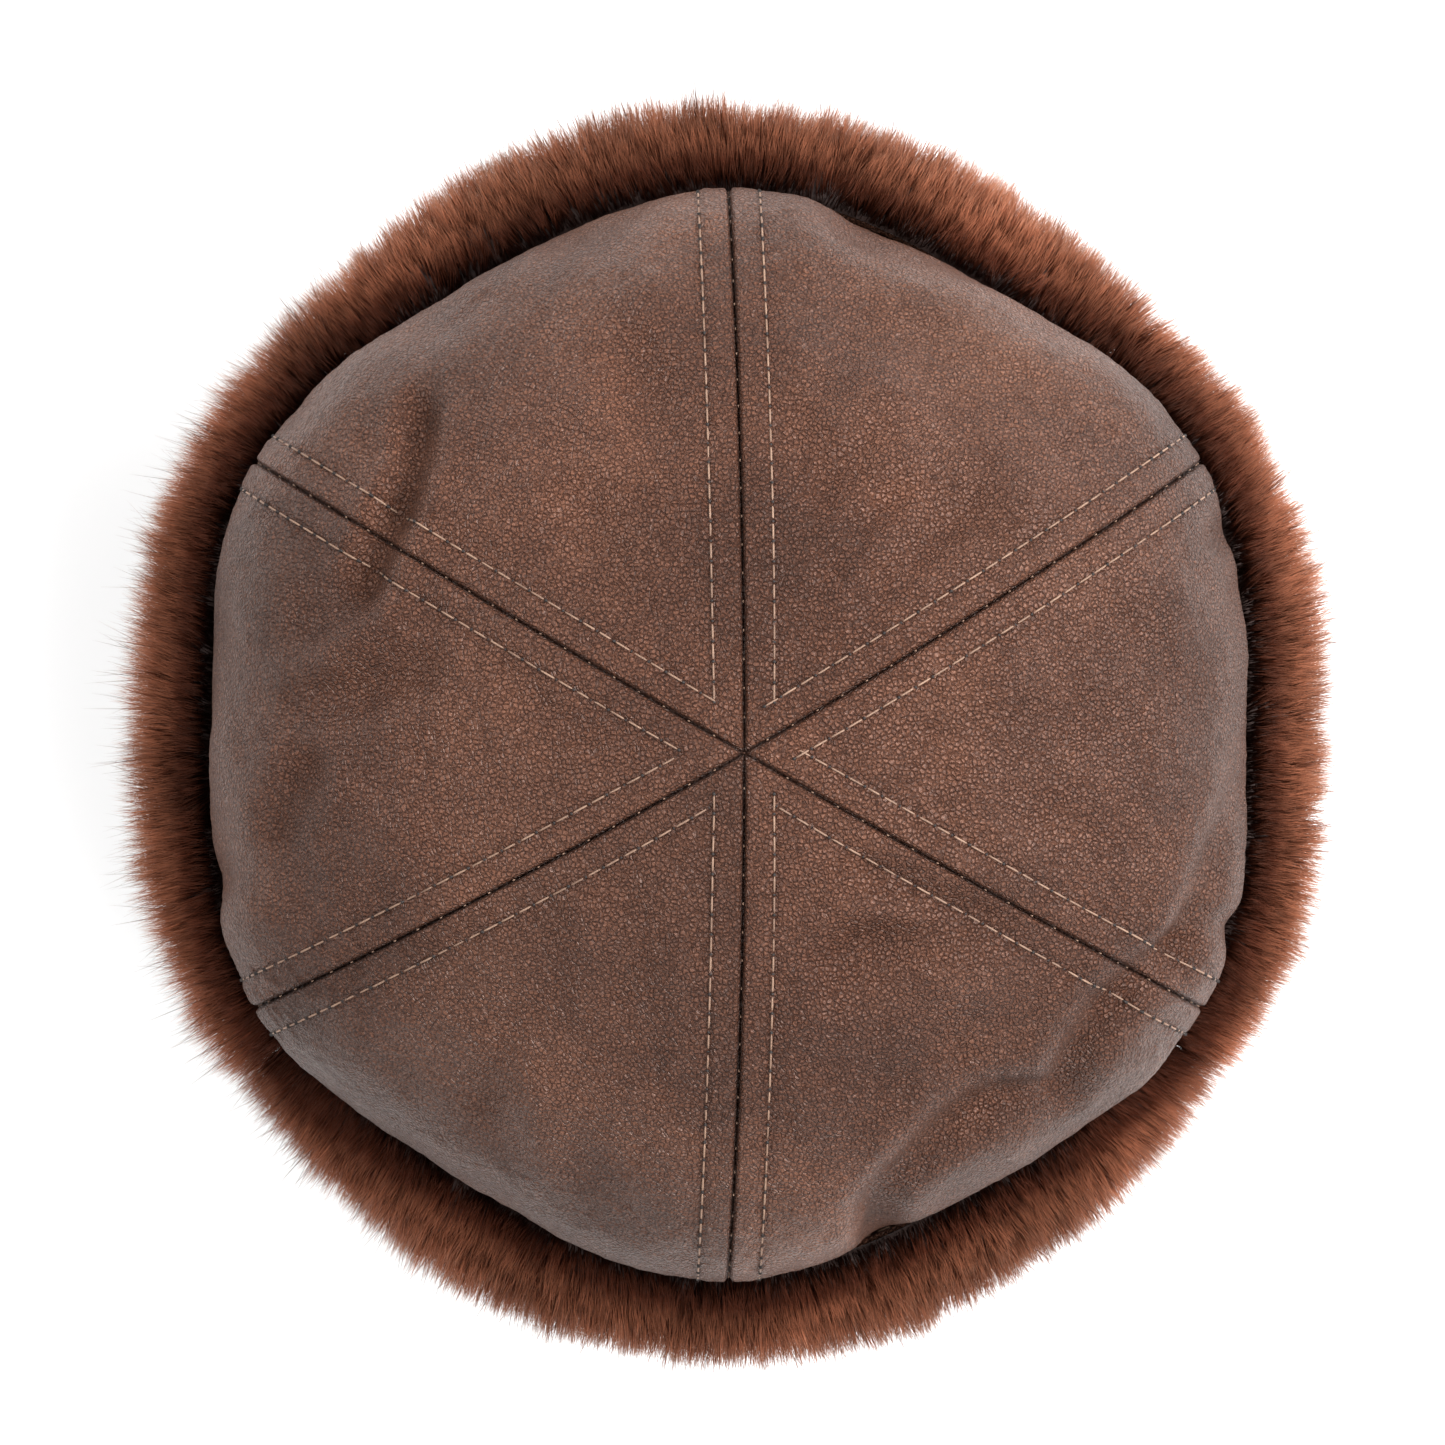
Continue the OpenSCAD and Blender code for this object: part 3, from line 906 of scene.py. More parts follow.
@dataclass
class Crown:
    """Six sewn panels with their padding and quilted lining, the rim binding, band and label."""

    shape: CrownShape = field(default_factory=lambda: SHAPE)
    leather: float = 1.6 * MM
    padding: tuple[float, float] = (1.9 * MM, 3.9 * MM)
    lining: tuple[float, float] = (4.25 * MM, 5.15 * MM)
    last: float = 1.9985
    columns: int = 98
    rows: int = 128
    quilt: float = 26.0 * MM
    allowance: float = 6.0 * MM
    lining_rise: float = 105.0 * MM
    band_wall: float = 6.7 * MM
    # Painted shade for each panel, by number: the panels that face away from the key light are darkened toward the
    # groove colour.
    painted_side_shade: tuple[float, ...] = (0.0, 0.04, 0.0, 0.10, 0.28, 0.06)

    def across(self, number: int, v: Array, columns: int, crowd: float = 0.55) -> Array:
        """Bearings of a panel's columns, crowded toward its two seams.

        Args:
            number: The panel's number.
            v: Shares of the way up, one for each row.
            columns: How many columns.
            crowd: How strongly the columns crowd, 0 for even ones.

        Returns:
            Bearings, columns by rows.
        """
        t = np.linspace(-1.0, 1.0, columns)
        t = t * (1.0 - crowd) + crowd * np.sin(t * math.pi / 2) * (1.2 - 0.2 * t * t)
        middle = math.radians(60 * number)
        radius = self.shape.wide(np.array(middle)) * np.cos(np.clip(v - 1.0, 0.0, 1.0) * math.pi / 2)
        half = math.pi / 6 - np.arcsin(np.clip(0.06 * MM / np.maximum(radius, 0.2 * MM), 0.0, 0.4))
        return middle + t[:, None] * half[None, :]

    def heights(self, rows: int) -> Array:
        """Shares of the way up for a panel's rows, wider apart where the flaps hide the side."""
        low = np.linspace(0.0, 0.84, rows // 6, endpoint=False)
        return np.concatenate([low, np.linspace(0.84, self.last, rows - len(low))])

    def panel(self, name: PanelName) -> Piece:
        """Build one leather panel: the sewn and folded face, darkened by painted shade in its seam groove and stitch
        channels, by painted shade on the panels facing away from the light and by random darker patches, and a plain
        back 1.6 mm inside.

        Args:
            name: The panel.

        Returns:
            The piece.
        """
        v = self.heights(self.rows)
        q = self.across(name.value, v, self.columns)
        vv = np.broadcast_to(v, q.shape)
        height, groove = self.shape.relief(q, vv)
        face = self.shape.layer(q, vv, -height)
        back = self.shape.layer(q, vv, self.leather)
        points, quads = slab(face, back)
        # Painted shade: the panel's side shade plus random darker patches, added to the painted groove shade and
        # stored as the groove mask.
        painted_side_shade_and_patches = self.painted_side_shade[name.value] + np.maximum(0.13 * ripple(face, 46 * MM, 61), 0.0)
        shade = np.concatenate([np.clip(groove + painted_side_shade_and_patches, 0.0, 1.0).ravel(), np.zeros(groove.size)])
        node = f"crown_panel_{name.name}"
        piece = make_mesh(f"{node}_leather", points, quads, values={"groove": shade})
        return fit(piece, Finish.CROWN_LEATHER, "root", (node,))

    def stitch_rows(self, number: int) -> list[tuple[Array, Array]]:
        """The two rows of topstitching beside the seam at a panel's lower bearing.

        Args:
            number: The panel's number.

        Returns:
            Points and outward directions of each row.
        """
        seam = math.radians(60 * number - 30)
        rows = []
        for side in (-1.0, 1.0):
            v = np.linspace(0.30, 1.93, 900)
            a = np.clip(v - 1.0, 0.0, 1.0) * math.pi / 2
            radius = self.shape.wide(np.array(seam)) * np.cos(a)
            keep = radius > self.shape.seam_half * 1.35
            v, radius = v[keep], radius[keep]
            q = seam + side * np.arcsin(self.shape.seam_half / radius)
            height, _ = self.shape.relief(q, v)
            rows.append((self.shape.layer(q, v, -height), self.shape.normal(q, v)))
        return rows

    def topstitching(self) -> list[Piece]:
        """Sew the seams and both rows beside each, with a dark disc of painted shade for the needle hole at each end
        of each stitch.

        Returns:
            The threads, the painted-shade needle holes and the seam threads.
        """
        rows = [row for number in range(6) for row in self.stitch_rows(number)]
        sewing = Stitching()
        threads = sewing.sew("crown_topstitching", rows, Finish.THREAD, "root")
        # Painted shade: short dark discs, sunk a little at each stitch end, stand in for the shade in the needle
        # holes.
        holes = Stitching(pitch=sewing.pitch, length=1.05 * MM, thickness=0.74 * MM, rings=3)
        spots = [spaced(path, up, sewing.pitch) for path, up in rows]
        place, along, up = (np.concatenate([s[k] for s in spots]) for k in range(3))
        ends = np.concatenate([place + along * sewing.length * k for k in (-0.527, 0.527)])
        along, up = np.tile(along, (2, 1)), np.tile(up, (2, 1))
        points, quads = holes.threads(ends - up * 0.12 * MM, along, up)
        dark = fit(make_mesh("crown_needle_holes", points, quads), Finish.HOLE)
        seams = []
        for number in range(6):
            v = np.linspace(0.30, 1.97, 900)
            q = np.full_like(v, math.radians(60 * number - 30))
            seams.append((self.shape.layer(q, v, np.full_like(v, 0.62 * MM)), self.shape.normal(q, v)))
        joining = Stitching(pitch=5.6 * MM, length=0.6 * MM, thickness=0.30 * MM, rings=5)
        return [threads, dark, joining.sew("crown_seam_thread", seams, Finish.THREAD, "root")]

    def seam_allowances(self) -> Piece:
        """Build the turned edges behind the seams: six thin ribbons that close them from inside.

        A ribbon's half width is 6 mm or half the radius, whichever is less, so all six meet at the
        apex. It fills the space between the leather and the padding.

        Returns:
            The piece.
        """
        points, quads, start = [], [], 0
        v = np.append(self.heights(96), 1.9999)
        for number in range(6):
            seam = math.radians(60 * number - 30)
            radius = self.shape.wide(np.array(seam)) * np.cos(np.clip(v - 1.0, 0.0, 1.0) * math.pi / 2)
            reach = np.arcsin(np.minimum(self.allowance / np.maximum(radius, MM * 1e-3), 0.5))
            q = seam + np.linspace(-1.0, 1.0, 13)[:, None] * reach[None, :]
            vv = np.broadcast_to(v, q.shape)
            near, far = self.leather + 0.03 * MM, self.padding[0] - 0.05 * MM
            p, f = slab(self.shape.layer(q, vv, near), self.shape.layer(q, vv, far))
            points.append(p)
            quads.append(f + start)
            start += len(p)
        stacked = np.concatenate(points)
        plain = {"groove": np.zeros(len(stacked))}
        piece = make_mesh("crown_seam_allowances", stacked, np.concatenate(quads), values=plain)
        return fit(piece, Finish.CROWN_LEATHER)

    def wadding(self) -> Piece:
        """Build the padding: six sheets of lofty wadding, one behind each panel.

        Returns:
            The piece.
        """
        points, quads, start = [], [], 0
        for number in range(6):
            v = self.heights(60)
            q = self.across(number, v, 30, 0.0)
            vv = np.broadcast_to(v, q.shape)
            loft = 0.10 * MM * ripple(self.shape.base(q, vv), 6 * MM, 41)
            near, far = (self.shape.layer(q, vv, depth + loft) for depth in self.padding)
            p, f = slab(near, far)
            points.append(p)
            quads.append(f + start)
            start += len(p)
        piece = make_mesh("crown_wadding", np.concatenate(points), np.concatenate(quads),
                          values={"groove": np.zeros(start)})
        return fit(piece, Finish.WADDING, "root", ("crown_batting",))

    def lining_panel(self, name: PanelName) -> Piece:
        """Build one lining panel, quilted in squares on the slant.

        The face sinks along two sets of slanting lines: -0.45 exp(-(d / 1.1)^2) mm, where d is the
        distance to the nearest line.

        Args:
            name: The panel.

        Returns:
            The piece.
        """
        v = np.linspace(0.0, self.last, 110)
        q = self.across(name.value, v, 72, 0.25)
        vv = np.broadcast_to(v, q.shape)
        inner = self.shape.layer(q, vv, self.lining[1])
        arc = (q - math.radians(60 * name.value)) * self.shape.middle_radius * np.cos(np.clip(vv - 1, 0, 1) * 1.35)
        run = vv * self.lining_rise
        total, stitch = 0.0, 0.0
        for sign in (-1.0, 1.0):
            phase = (run + sign * arc) / self.quilt / math.sqrt(2.0)
            d = np.abs(phase - np.round(phase)) * self.quilt
            total, stitch = total + bell(d, 1.3 * MM), stitch + bell(d, 0.35 * MM)
        s, _ = self.shape.from_seam(q, vv)
        sink = np.clip(total, 0, 1) * 0.45 * MM + bell(s, 1.2 * MM) * 0.3 * MM
        normal = self.shape.normal(q, vv)
        inner = inner + normal * (sink - 0.25 * MM)[..., None]
        outer = self.shape.layer(q, vv, self.lining[0])
        points, quads = slab(outer, inner)
        # Painted shade: darker along the quilting lines and the seams, where the face sinks.
        groove = np.clip(stitch * 0.7 + bell(s, 0.5 * MM), 0, 1)
        node = f"lining_panel_{name.name}"
        piece = make_mesh(f"{node}_satin", points, quads,
                          values={"groove": np.concatenate([np.zeros(groove.size), groove.ravel()])})
        return fit(piece, Finish.LINING, "root", (node,))

    def ring(self, radial: Array, z: Array, path: Array, wave: Array | float = 0.0) -> tuple[Array, Array]:
        """Carry a closed section round the rim's oval.

        Args:
            radial: Section points' distances outside the rim's outer oval.
            z: Section points' heights.
            path: Bearings of the stations.
            wave: Radial change for each station and section point.

        Returns:
            Points and faces.
        """
        r = self.shape.oval(path[:, None], 0.0) + radial[None, :] + wave
        points = np.stack([r * np.cos(path)[:, None], r * np.sin(path)[:, None], np.broadcast_to(z, r.shape)], -1)
        return ring_tube(points)

    def binding(self) -> Piece:
        """Build the rim binding: a folded leather strip, rounded over the rim's edge.

        Returns:
            The piece.
        """
        _, high = node_box("rim_binding")
        width, top = 5.2 * MM, float(high[2])
        t = np.arange(28) / 28 * TAU
        radial = -width / 2 + width / 2 * squared(np.cos(t), 0.55)
        z = top / 2 + top / 2 * squared(np.sin(t), 0.55)
        path = np.arange(720) / 720 * TAU
        pull = 0.10 * MM * np.cos(path * 170)[:, None] * np.cos(t)[None, :]
        points, quads = self.ring(radial, z, path, pull)
        piece = make_mesh("rim_binding_leather", points, quads, values={"groove": np.zeros(len(points))})
        return fit(piece, Finish.FLAP_LEATHER, "root", ("rim_binding",))

    def band(self) -> Piece:
        """Build the sweatband: ribbed cloth with rolled edges, inside the rim.

        Returns:
            The piece.
        """
        low, high = node_box("sweatband")
        cad_outer = float(high[0]) - self.shape.rim[0]
        t = np.arange(64) / 64 * TAU
        half, thick = float(high[2] - low[2]) / 2, 0.55 * MM
        z = low[2] + half + half * squared(np.sin(t), 0.35)
        radial = cad_outer - 0.6 * MM + thick * squared(np.cos(t), 0.5)
        path = np.arange(900) / 900 * TAU
        ribs = 0.16 * MM * np.cos(path * 225)[:, None] * np.where(np.cos(t) < 0, 1.0, 0.0)[None, :]
        points, quads = self.ring(radial, z, path, ribs)
        groove = np.clip(-np.cos(path * 225)[:, None] * 0.5 + 0 * z, 0, 1).ravel()
        piece = make_mesh("sweatband_cloth", points, quads, values={"groove": groove})
        return fit(piece, Finish.BAND, "root", ("sweatband",))

    def label(self) -> list[Piece]:
        """Build the blank woven label on the back of the band, with its sewn border.

        Returns:
            The label and its stitching.
        """
        low, high = node_box("blank_label")
        half_width = float(high[0])
        x = np.linspace(-half_width, half_width, 60)
        z = np.linspace(low[2], high[2], 26)
        inner_oval = self.shape.rim[0] - self.band_wall, self.shape.rim[1] - self.band_wall
        y = inner_oval[1] * np.sqrt(1.0 - np.square(x / inner_oval[0]))
        edge = np.minimum(half_width - np.abs(x)[:, None], np.minimum(z - low[2], high[2] - z)[None, :])
        puff = 0.12 * MM * smooth(edge / (1.2 * MM)) + 0.05 * MM * bell(edge - 2.2 * MM, 0.8 * MM)
        grid = np.stack(np.broadcast_arrays(x[:, None], y[:, None] - 0.40 * MM - puff, z[None, :]), -1)
        back = np.stack(np.broadcast_arrays(x[:, None], y[:, None] - 0.02 * MM, z[None, :]), -1)
        points, quads = slab(grid, back)
        piece = fit(make_mesh("blank_label_cloth", points, quads, values={"groove": np.zeros(len(points))}),
                    Finish.LABEL, "root", ("blank_label",))
        inset = 2.2 * MM
        left, right = x[3], x[-4]
        rows = []
        for height in (z[0] + inset, z[-1] - inset):
            xs = np.linspace(left, right, 200)
            ys = inner_oval[1] * np.sqrt(1.0 - np.square(xs / inner_oval[0])) - 0.50 * MM
            rows.append((np.stack([xs, ys, np.full_like(xs, height)], -1), np.tile([0.0, -1.0, 0.0], (200, 1))))
        for at in (left, right):
            zs = np.linspace(z[0] + inset, z[-1] - inset, 120)
            y_at = inner_oval[1] * math.sqrt(1.0 - (at / inner_oval[0]) ** 2) - 0.50 * MM
            rows.append((np.stack([np.full_like(zs, at), np.full_like(zs, y_at), zs], -1),
                         np.tile([0.0, -1.0, 0.0], (120, 1))))
        sewing = Stitching(pitch=1.9 * MM, length=1.4 * MM, thickness=0.28 * MM, rings=5)
        return [piece, sewing.sew("label_stitching", rows, Finish.DARK_THREAD, "root")]

    def build(self) -> None:
        """Build every piece of the crown."""
        for name in PanelName:
            self.panel(name)
            self.lining_panel(name)
        self.topstitching()
        self.seam_allowances()
        self.wadding()
        self.binding()
        self.band()
        self.label()


# ---- Flaps and their pile ---------------------------------------------------------------------------------


@dataclass
class PileShape:
    """The space that a flap's pile fills, from the leather out to the tips.

    w runs over the pile from its lower edge (0) up the side to the shoulder, and then round a
    quarter oval to the edge beside the crown (1). share is 0 on the leather and 1 at the tips.
    """

    sector: tuple[float, float]
    height: float
    under: float
    shape: CrownShape = field(default_factory=lambda: SHAPE)
    leather: float = 2.0 * MM
    root_space: float = 0.6 * MM
    edge_space: float = 1.2 * MM
    side_depth: float = 22.5 * MM
    end_depth: float = 21.3 * MM
    low_z: float = 4.5 * MM
    shoulder: float = 5.0 * MM
    over: float = 9.0 * MM
    low_share: float = 0.55
    turn: float = 0.66
    corner_drop: float = 0.1

    def top(self, q: Array) -> Array:
        """Height of the leather's edge, which drops toward the flap's two corners.

        Args:
            q: Bearings.

        Returns:
            Heights.
        """
        a, b = (math.radians(x) for x in self.sector)
        u = np.abs(2.0 * (q - a) / (b - a) - 1.0)
        return self.height * (1.0 - self.corner_drop * np.minimum(u, 1.1) ** 3)

    def inside(self, q: Array, z: Array) -> Array:
        """Radius of the leather's crown side: straight from the rim to the edge under the bulge."""
        top = self.top(q)
        return mix(self.shape.oval(q) + self.root_space, self.shape.side(q, top) + self.edge_space, z / top)

    def at(self, q: Array, w: Array, share: Array | float) -> Array:
        """Points of the pile.

        Args:
            q: Bearings.
            w: Places over the pile, 0 to 1.
            share: Shares of the way out from the leather.

        Returns:
            Points.
        """
        top, out = self.top(q), self.leather
        depth = mix(self.side_depth, self.end_depth, np.sin(q) ** 2)
        s, t = np.clip(w / self.turn, 0, 1), np.clip((w - self.turn) / (1 - self.turn), 0, 1)
        b = t * math.pi / 2
        end_r = self.shape.side(q, top + self.over) + self.edge_space
        shoulder_z = top - self.shoulder
        start_r = self.inside(q, shoulder_z) + out + depth
        low = w < self.turn
        z_far = np.where(low, mix(self.low_z, shoulder_z, s), shoulder_z + (self.shoulder + self.over) * np.sin(b))
        side_r = self.inside(q, np.minimum(z_far, top)) + out + depth * mix(self.low_share, 1.0, smooth(2 * s))
        r_far = np.where(low, side_r, end_r + (start_r - end_r) * np.cos(b))
        z_near = np.where(low, mix(self.low_z, top, s), top + self.over / 2 * t)
        edge_r = self.inside(q, top) + out + self.under
        r_near = np.where(low, self.inside(q, np.minimum(z_near, top)) + out + self.under, mix(edge_r, end_r, t))
        r, z = mix(r_near, r_far, share), mix(z_near, z_far, share)
        return np.stack([r * np.cos(q), r * np.sin(q), z], -1)


@dataclass
class Flap:
    """One flap: a leather panel faced with deep clumped pile that folds up round the crown."""

    name: str
    pile: PileShape
    seed: int
    strands_per_degree: float = 415.0
    curved_share: float = 0.34
    guard_share: float = 0.034
    clump: float = 3.6 * MM
    edge_gap: float = 0.30
    strip_half: float = 19.0
    bend: tuple[float, float] = (3.2 * MM, 7.0 * MM)
    skin_share: float = 0.40
    mean_radius: float = 100.0 * MM
    root_radius: float = 0.098 * MM
    pieces: int = 2

    def hinge(self) -> Array:
        """Middle of the flap's root.

        Returns:
            The point.
        """
        a, b = (math.radians(x) for x in self.pile.sector)
        q = np.array((a + b) / 2)
        r = float(self.pile.shape.oval(q)) + 0.3 * MM
        return np.array([r * math.cos(q), r * math.sin(q), 0.0])

    def settle(self, piece: Piece, finish: Finish, replaces: tuple[str, ...] = ()) -> Piece:
        """Dress a piece and seat it on the flap.

        Args:
            piece: The mesh object.
            finish: Its finish.
            replaces: CAD nodes it stands for.

        Returns:
            The piece.
        """
        return fit(piece, finish, self.name, replaces)

    def hinge_strip(self) -> Piece:
        """Build the soft leather strip that joins the flap's middle to the rim.

        It is a thin sheet in the space between the rim and the leather: the wall's radius at its
        foot, the leather's inner radius less half a millimetre at its top, and a smooth step between.

        Returns:
            The piece.
        """
        a, b = self.pile.sector
        middle = (a + b) / 2
        q = np.radians(np.linspace(middle - self.strip_half, middle + self.strip_half, 90))[:, None]
        z = np.concatenate([np.linspace(0.8, 3.2, 6, endpoint=False), np.linspace(3.2, 7.0, 40),
                            np.linspace(7.4, 11.0, 6)])[None, :] * MM
        share = smooth((z - 4.0 * MM) / (6.0 * MM))
        wall, panel = self.pile.shape.oval(q, 0.06 * MM), self.pile.inside(q, z) - 0.06 * MM
        outer = np.maximum(mix(wall + 0.42 * MM, panel, share), wall + 0.30 * MM)
        inner = mix(wall, panel - 0.45 * MM, share)
        faces = [np.stack([k * np.cos(q), k * np.sin(q), np.broadcast_to(z, k.shape)], -1) for k in (outer, inner)]
        points, quads = slab(*faces)
        piece = make_mesh(f"{self.name}_hinge_strip", points, quads, values={"groove": np.zeros(len(points))})
        WARDROBE.dress(piece, Finish.FLAP_LEATHER)
        start, end = self.hinge(), self.hinge()
        start[2], end[2] = self.bend
        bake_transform(piece)
        LOG.info("%s bends between root and %s", piece.name, self.name)
        return piece

    def bearings(self, columns: int, inset: float = 0.0) -> Array:
        """Even bearings across the flap, in radians, with an inset in degrees at both ends."""
        a, b = self.pile.sector
        return np.radians(np.linspace(a + self.edge_gap + inset, b - self.edge_gap - inset, columns))

    def leather(self) -> Piece:
        """Build the leather: two faces that draw together at a rounded edge, pulled in by sewing.

        Returns:
            The piece.
        """
        a, b = self.pile.sector
        columns, rows = int((b - a) * 1.7), 56
        q = self.bearings(columns)[:, None]
        t = np.linspace(0.0, 1.0, rows)
        t = mix(t, smooth(t), 0.5)[None, :]
        z = mix(2.0 * MM, self.pile.top(q) - 0.05 * MM, t)
        r = self.pile.inside(q, z)
        arc = 100 * MM
        ends = np.minimum(np.abs(q - q[0]), np.abs(q[-1] - q)) * arc
        edge = np.minimum(ends, self.pile.top(q) - z)
        round_off = np.sqrt(np.clip(1.0 - np.square(1.0 - np.clip(edge / (1.1 * MM), 0.0, 1.0)), 0.03, 1.0))
        place = np.stack([r * np.cos(q), r * np.sin(q), z], -1)
        wave = 0.22 * MM * ripple(place, 26 * MM, self.seed) + 0.08 * MM * ripple(place, 7 * MM, self.seed + 1)
        sewn = 0.30 * MM * bell(edge - 5.0 * MM, 0.9 * MM)
        half = self.pile.leather / 2
        middle = r + half
        outer, inner = middle + half * 0.97 * round_off, middle - (half * round_off - sewn - np.abs(wave) * round_off)
        faces = [np.stack([k * np.cos(q), k * np.sin(q), z], -1) for k in (outer, inner)]
        points, quads = slab(*faces)
        # Painted shade along the sewn channel on the crown side face.
        groove = np.concatenate([np.zeros(edge.size), (0.4 * bell(edge - 5.0 * MM, 0.5 * MM)).ravel()])
        node = f"{self.name}_leather"
        piece = make_mesh(f"{node}_panel", points, quads, values={"groove": groove})
        return self.settle(piece, Finish.FLAP_LEATHER, (node,))

    def stitching(self) -> Piece:
        """Sew one row of stitches round the leather's three free edges, on the crown side.

        Returns:
            The piece.
        """
        q = self.bearings(500, 2.9)
        top = self.pile.top(q) - 5.0 * MM
        up = np.linspace(7.0 * MM, 0.0, 80)[1:]
        first = np.full(79, q[0]), float(top[0]) - up * (float(top[0]) / (7.0 * MM) - 1.0)
        last = np.full(79, q[-1]), float(top[-1]) - up[::-1] * (float(top[-1]) / (7.0 * MM) - 1.0)
        bearing = np.concatenate([first[0], q, last[0]])
        z = np.concatenate([first[1], top, last[1]])
        r = self.pile.inside(bearing, z) + 0.18 * MM
        path = np.stack([r * np.cos(bearing), r * np.sin(bearing), z], -1)
        normal = np.stack([-np.cos(bearing), -np.sin(bearing), np.zeros_like(z)], -1)
        place, along, out = spaced(path, normal, 4.2 * MM)
        points, quads = Stitching(thickness=0.5 * MM).threads(place, along, out)
        piece = make_mesh(f"{self.name}_topstitching", points, quads)
        return self.settle(piece, Finish.THREAD)

    def backing(self) -> Piece:
        """Build the pile's knitted backing and matted roots: a closed pad on the leather's face.

        Returns:
            The piece.
        """
        a, b = self.pile.sector
        q = self.bearings(int((b - a) * 1.2), 0.5)[:, None]
        w = np.linspace(0.0, 1.0, 64)[None, :]
        q, w = np.broadcast_arrays(q, w)
        near = self.pile.at(q, w, 0.02)
        lumps = 0.06 * ripple(near, 11 * MM, self.seed + 2) + 0.04 * ripple(near, 5 * MM, self.seed + 3)
        fall = smooth(np.minimum(w / 0.05, (1 - w) / 0.04))
        ends = np.minimum(np.abs(q - q[0, 0]), np.abs(q[-1, 0] - q)) * self.mean_radius
        share = self.skin_share * (0.25 + 0.75 * fall) * (0.35 + 0.65 * smooth(ends / (5 * MM))) + lumps
        far = self.pile.at(q, w, np.maximum(share, 0.05))
        points, quads = slab(far, near)
        piece = make_mesh(f"{self.name}_pile_backing", points, quads, values={"groove": np.zeros(len(points))})
        return self.settle(piece, Finish.BACKING, (f"{self.name}_fur",))

    def clumps(self, rng: np.random.Generator, arc: Array, run: Array) -> tuple[Array, Array, Array]:
        """Give each strand its clump: the nearest of the jittered middles of a square net.

        Args:
            rng: Source of the jitter.
            arc: Each strand's place along the flap.
            run: Each strand's place over the pile.

        Returns:
            The clump's number for each strand, and every clump's arc and run.
        """
        size = self.clump
        i0, j0 = np.floor(arc.min() / size) - 1, np.floor(run.min() / size) - 1
        wide = int(np.ceil(arc.max() / size) - i0) + 3
        tall = int(np.ceil(run.max() / size) - j0) + 3
        centre_arc = (np.arange(wide)[:, None] + i0 + rng.uniform(0.05, 0.95, (wide, tall))) * size
        centre_run = (np.arange(tall)[None, :] + j0 + rng.uniform(0.05, 0.95, (wide, tall))) * size
        ci, cj = (np.floor(arc / size) - i0).astype(int), (np.floor(run / size) - j0).astype(int)
        near_i = np.clip(ci[:, None] + np.repeat([-1, 0, 1], 3), 0, wide - 1)
        near_j = np.clip(cj[:, None] + np.tile([-1, 0, 1], 3), 0, tall - 1)
        d = (centre_arc[near_i, near_j] - arc[:, None]) ** 2 + (centre_run[near_i, near_j] - run[:, None]) ** 2
        best = d.argmin(1)
        rows = np.arange(len(arc))
        number = near_i[rows, best] * tall + near_j[rows, best]
        return number, centre_arc.ravel(), centre_run.ravel()

    def strands(self) -> list[Piece]:
        """Grow the pile: closed three-sided spikes that lean together in clumps.

        A strand leaves the backing along the pile's own direction, leans outward more the nearer it
        is to the crown, sways with two smooth random fields, and its tip is drawn part of the way
        to its clump's tip. It is three points long: root, bend and tip.

        Returns:
            The pile in pieces, each part of the flap's width.
        """
        rng = np.random.default_rng(self.seed)
        a, b = self.pile.sector
        count = int((b - a) * self.strands_per_degree)
        arc_scale, run_scale = 112 * MM, 96 * MM
        spot = (np.arange(count) + rng.random(count)) / count
        q = np.radians(a + self.edge_gap + (b - a - 2 * self.edge_gap) * spot)
        w = rng.random(count) ** 0.92
        curved = rng.random(count) < self.curved_share
        guard = curved & (rng.random(count) < self.guard_share / self.curved_share)
        number, centre_arc, centre_run = self.clumps(rng, q * arc_scale, w * run_scale)
        qc = np.clip(centre_arc / arc_scale, math.radians(a - 0.8), math.radians(b + 0.8))
        wc = np.clip(centre_run / run_scale, 0.0, 1.0)
        clump_long = rng.uniform(0.84, 1.10, len(qc))
        clump_pull = rng.uniform(0.12, 0.50, len(qc))
        clump_tone = rng.normal(0.0, 1.0, len(qc))
        clump_lean = rng.normal(0.0, 0.28, (len(qc), 2))

        def growth(bearing: Array, place: Array, lean: Array, long: Array) -> tuple[Array, Array, Array]:
            """Find roots, directions and lengths at places on the pile.

            Args:
                bearing: Bearings.
                place: Places from the pile's lower edge to the crown.
                lean: Extra lean round the hat and upward.
                long: Share of the pile's depth.

            Returns:
                Roots, unit directions and lengths.
            """
            root = self.pile.at(bearing, place, self.skin_share - 0.06)
            reach = self.pile.at(bearing, place, 1.0) - self.pile.at(bearing, place, 0.0)
            out = np.stack([np.cos(bearing), np.sin(bearing), 0 * bearing], -1)
            round_ = np.stack([-np.sin(bearing), np.cos(bearing), 0 * bearing], -1)
            rise = np.array([0.0, 0.0, 1.0])
            inner = smooth((place - 0.58) / 0.42)
            sway = 0.30 * ripple(root, 52 * MM, self.seed + 4) + 0.16 * ripple(root, 16 * MM, self.seed + 5)
            sway = sway + lean[:, 0]
            lift = 0.10 + 0.12 * ripple(root, 30 * MM, self.seed + 6) + lean[:, 1] - 0.10 * inner
            turn = unit(reach) + out * (0.10 + 0.95 * inner)[:, None]
            turn = unit(turn + round_ * sway[:, None] + rise * lift[:, None])
            span = np.linalg.norm(reach, axis=-1) * (1.0 - self.skin_share + 0.06)
            return root, turn, np.maximum(span, 9.0 * MM) * long

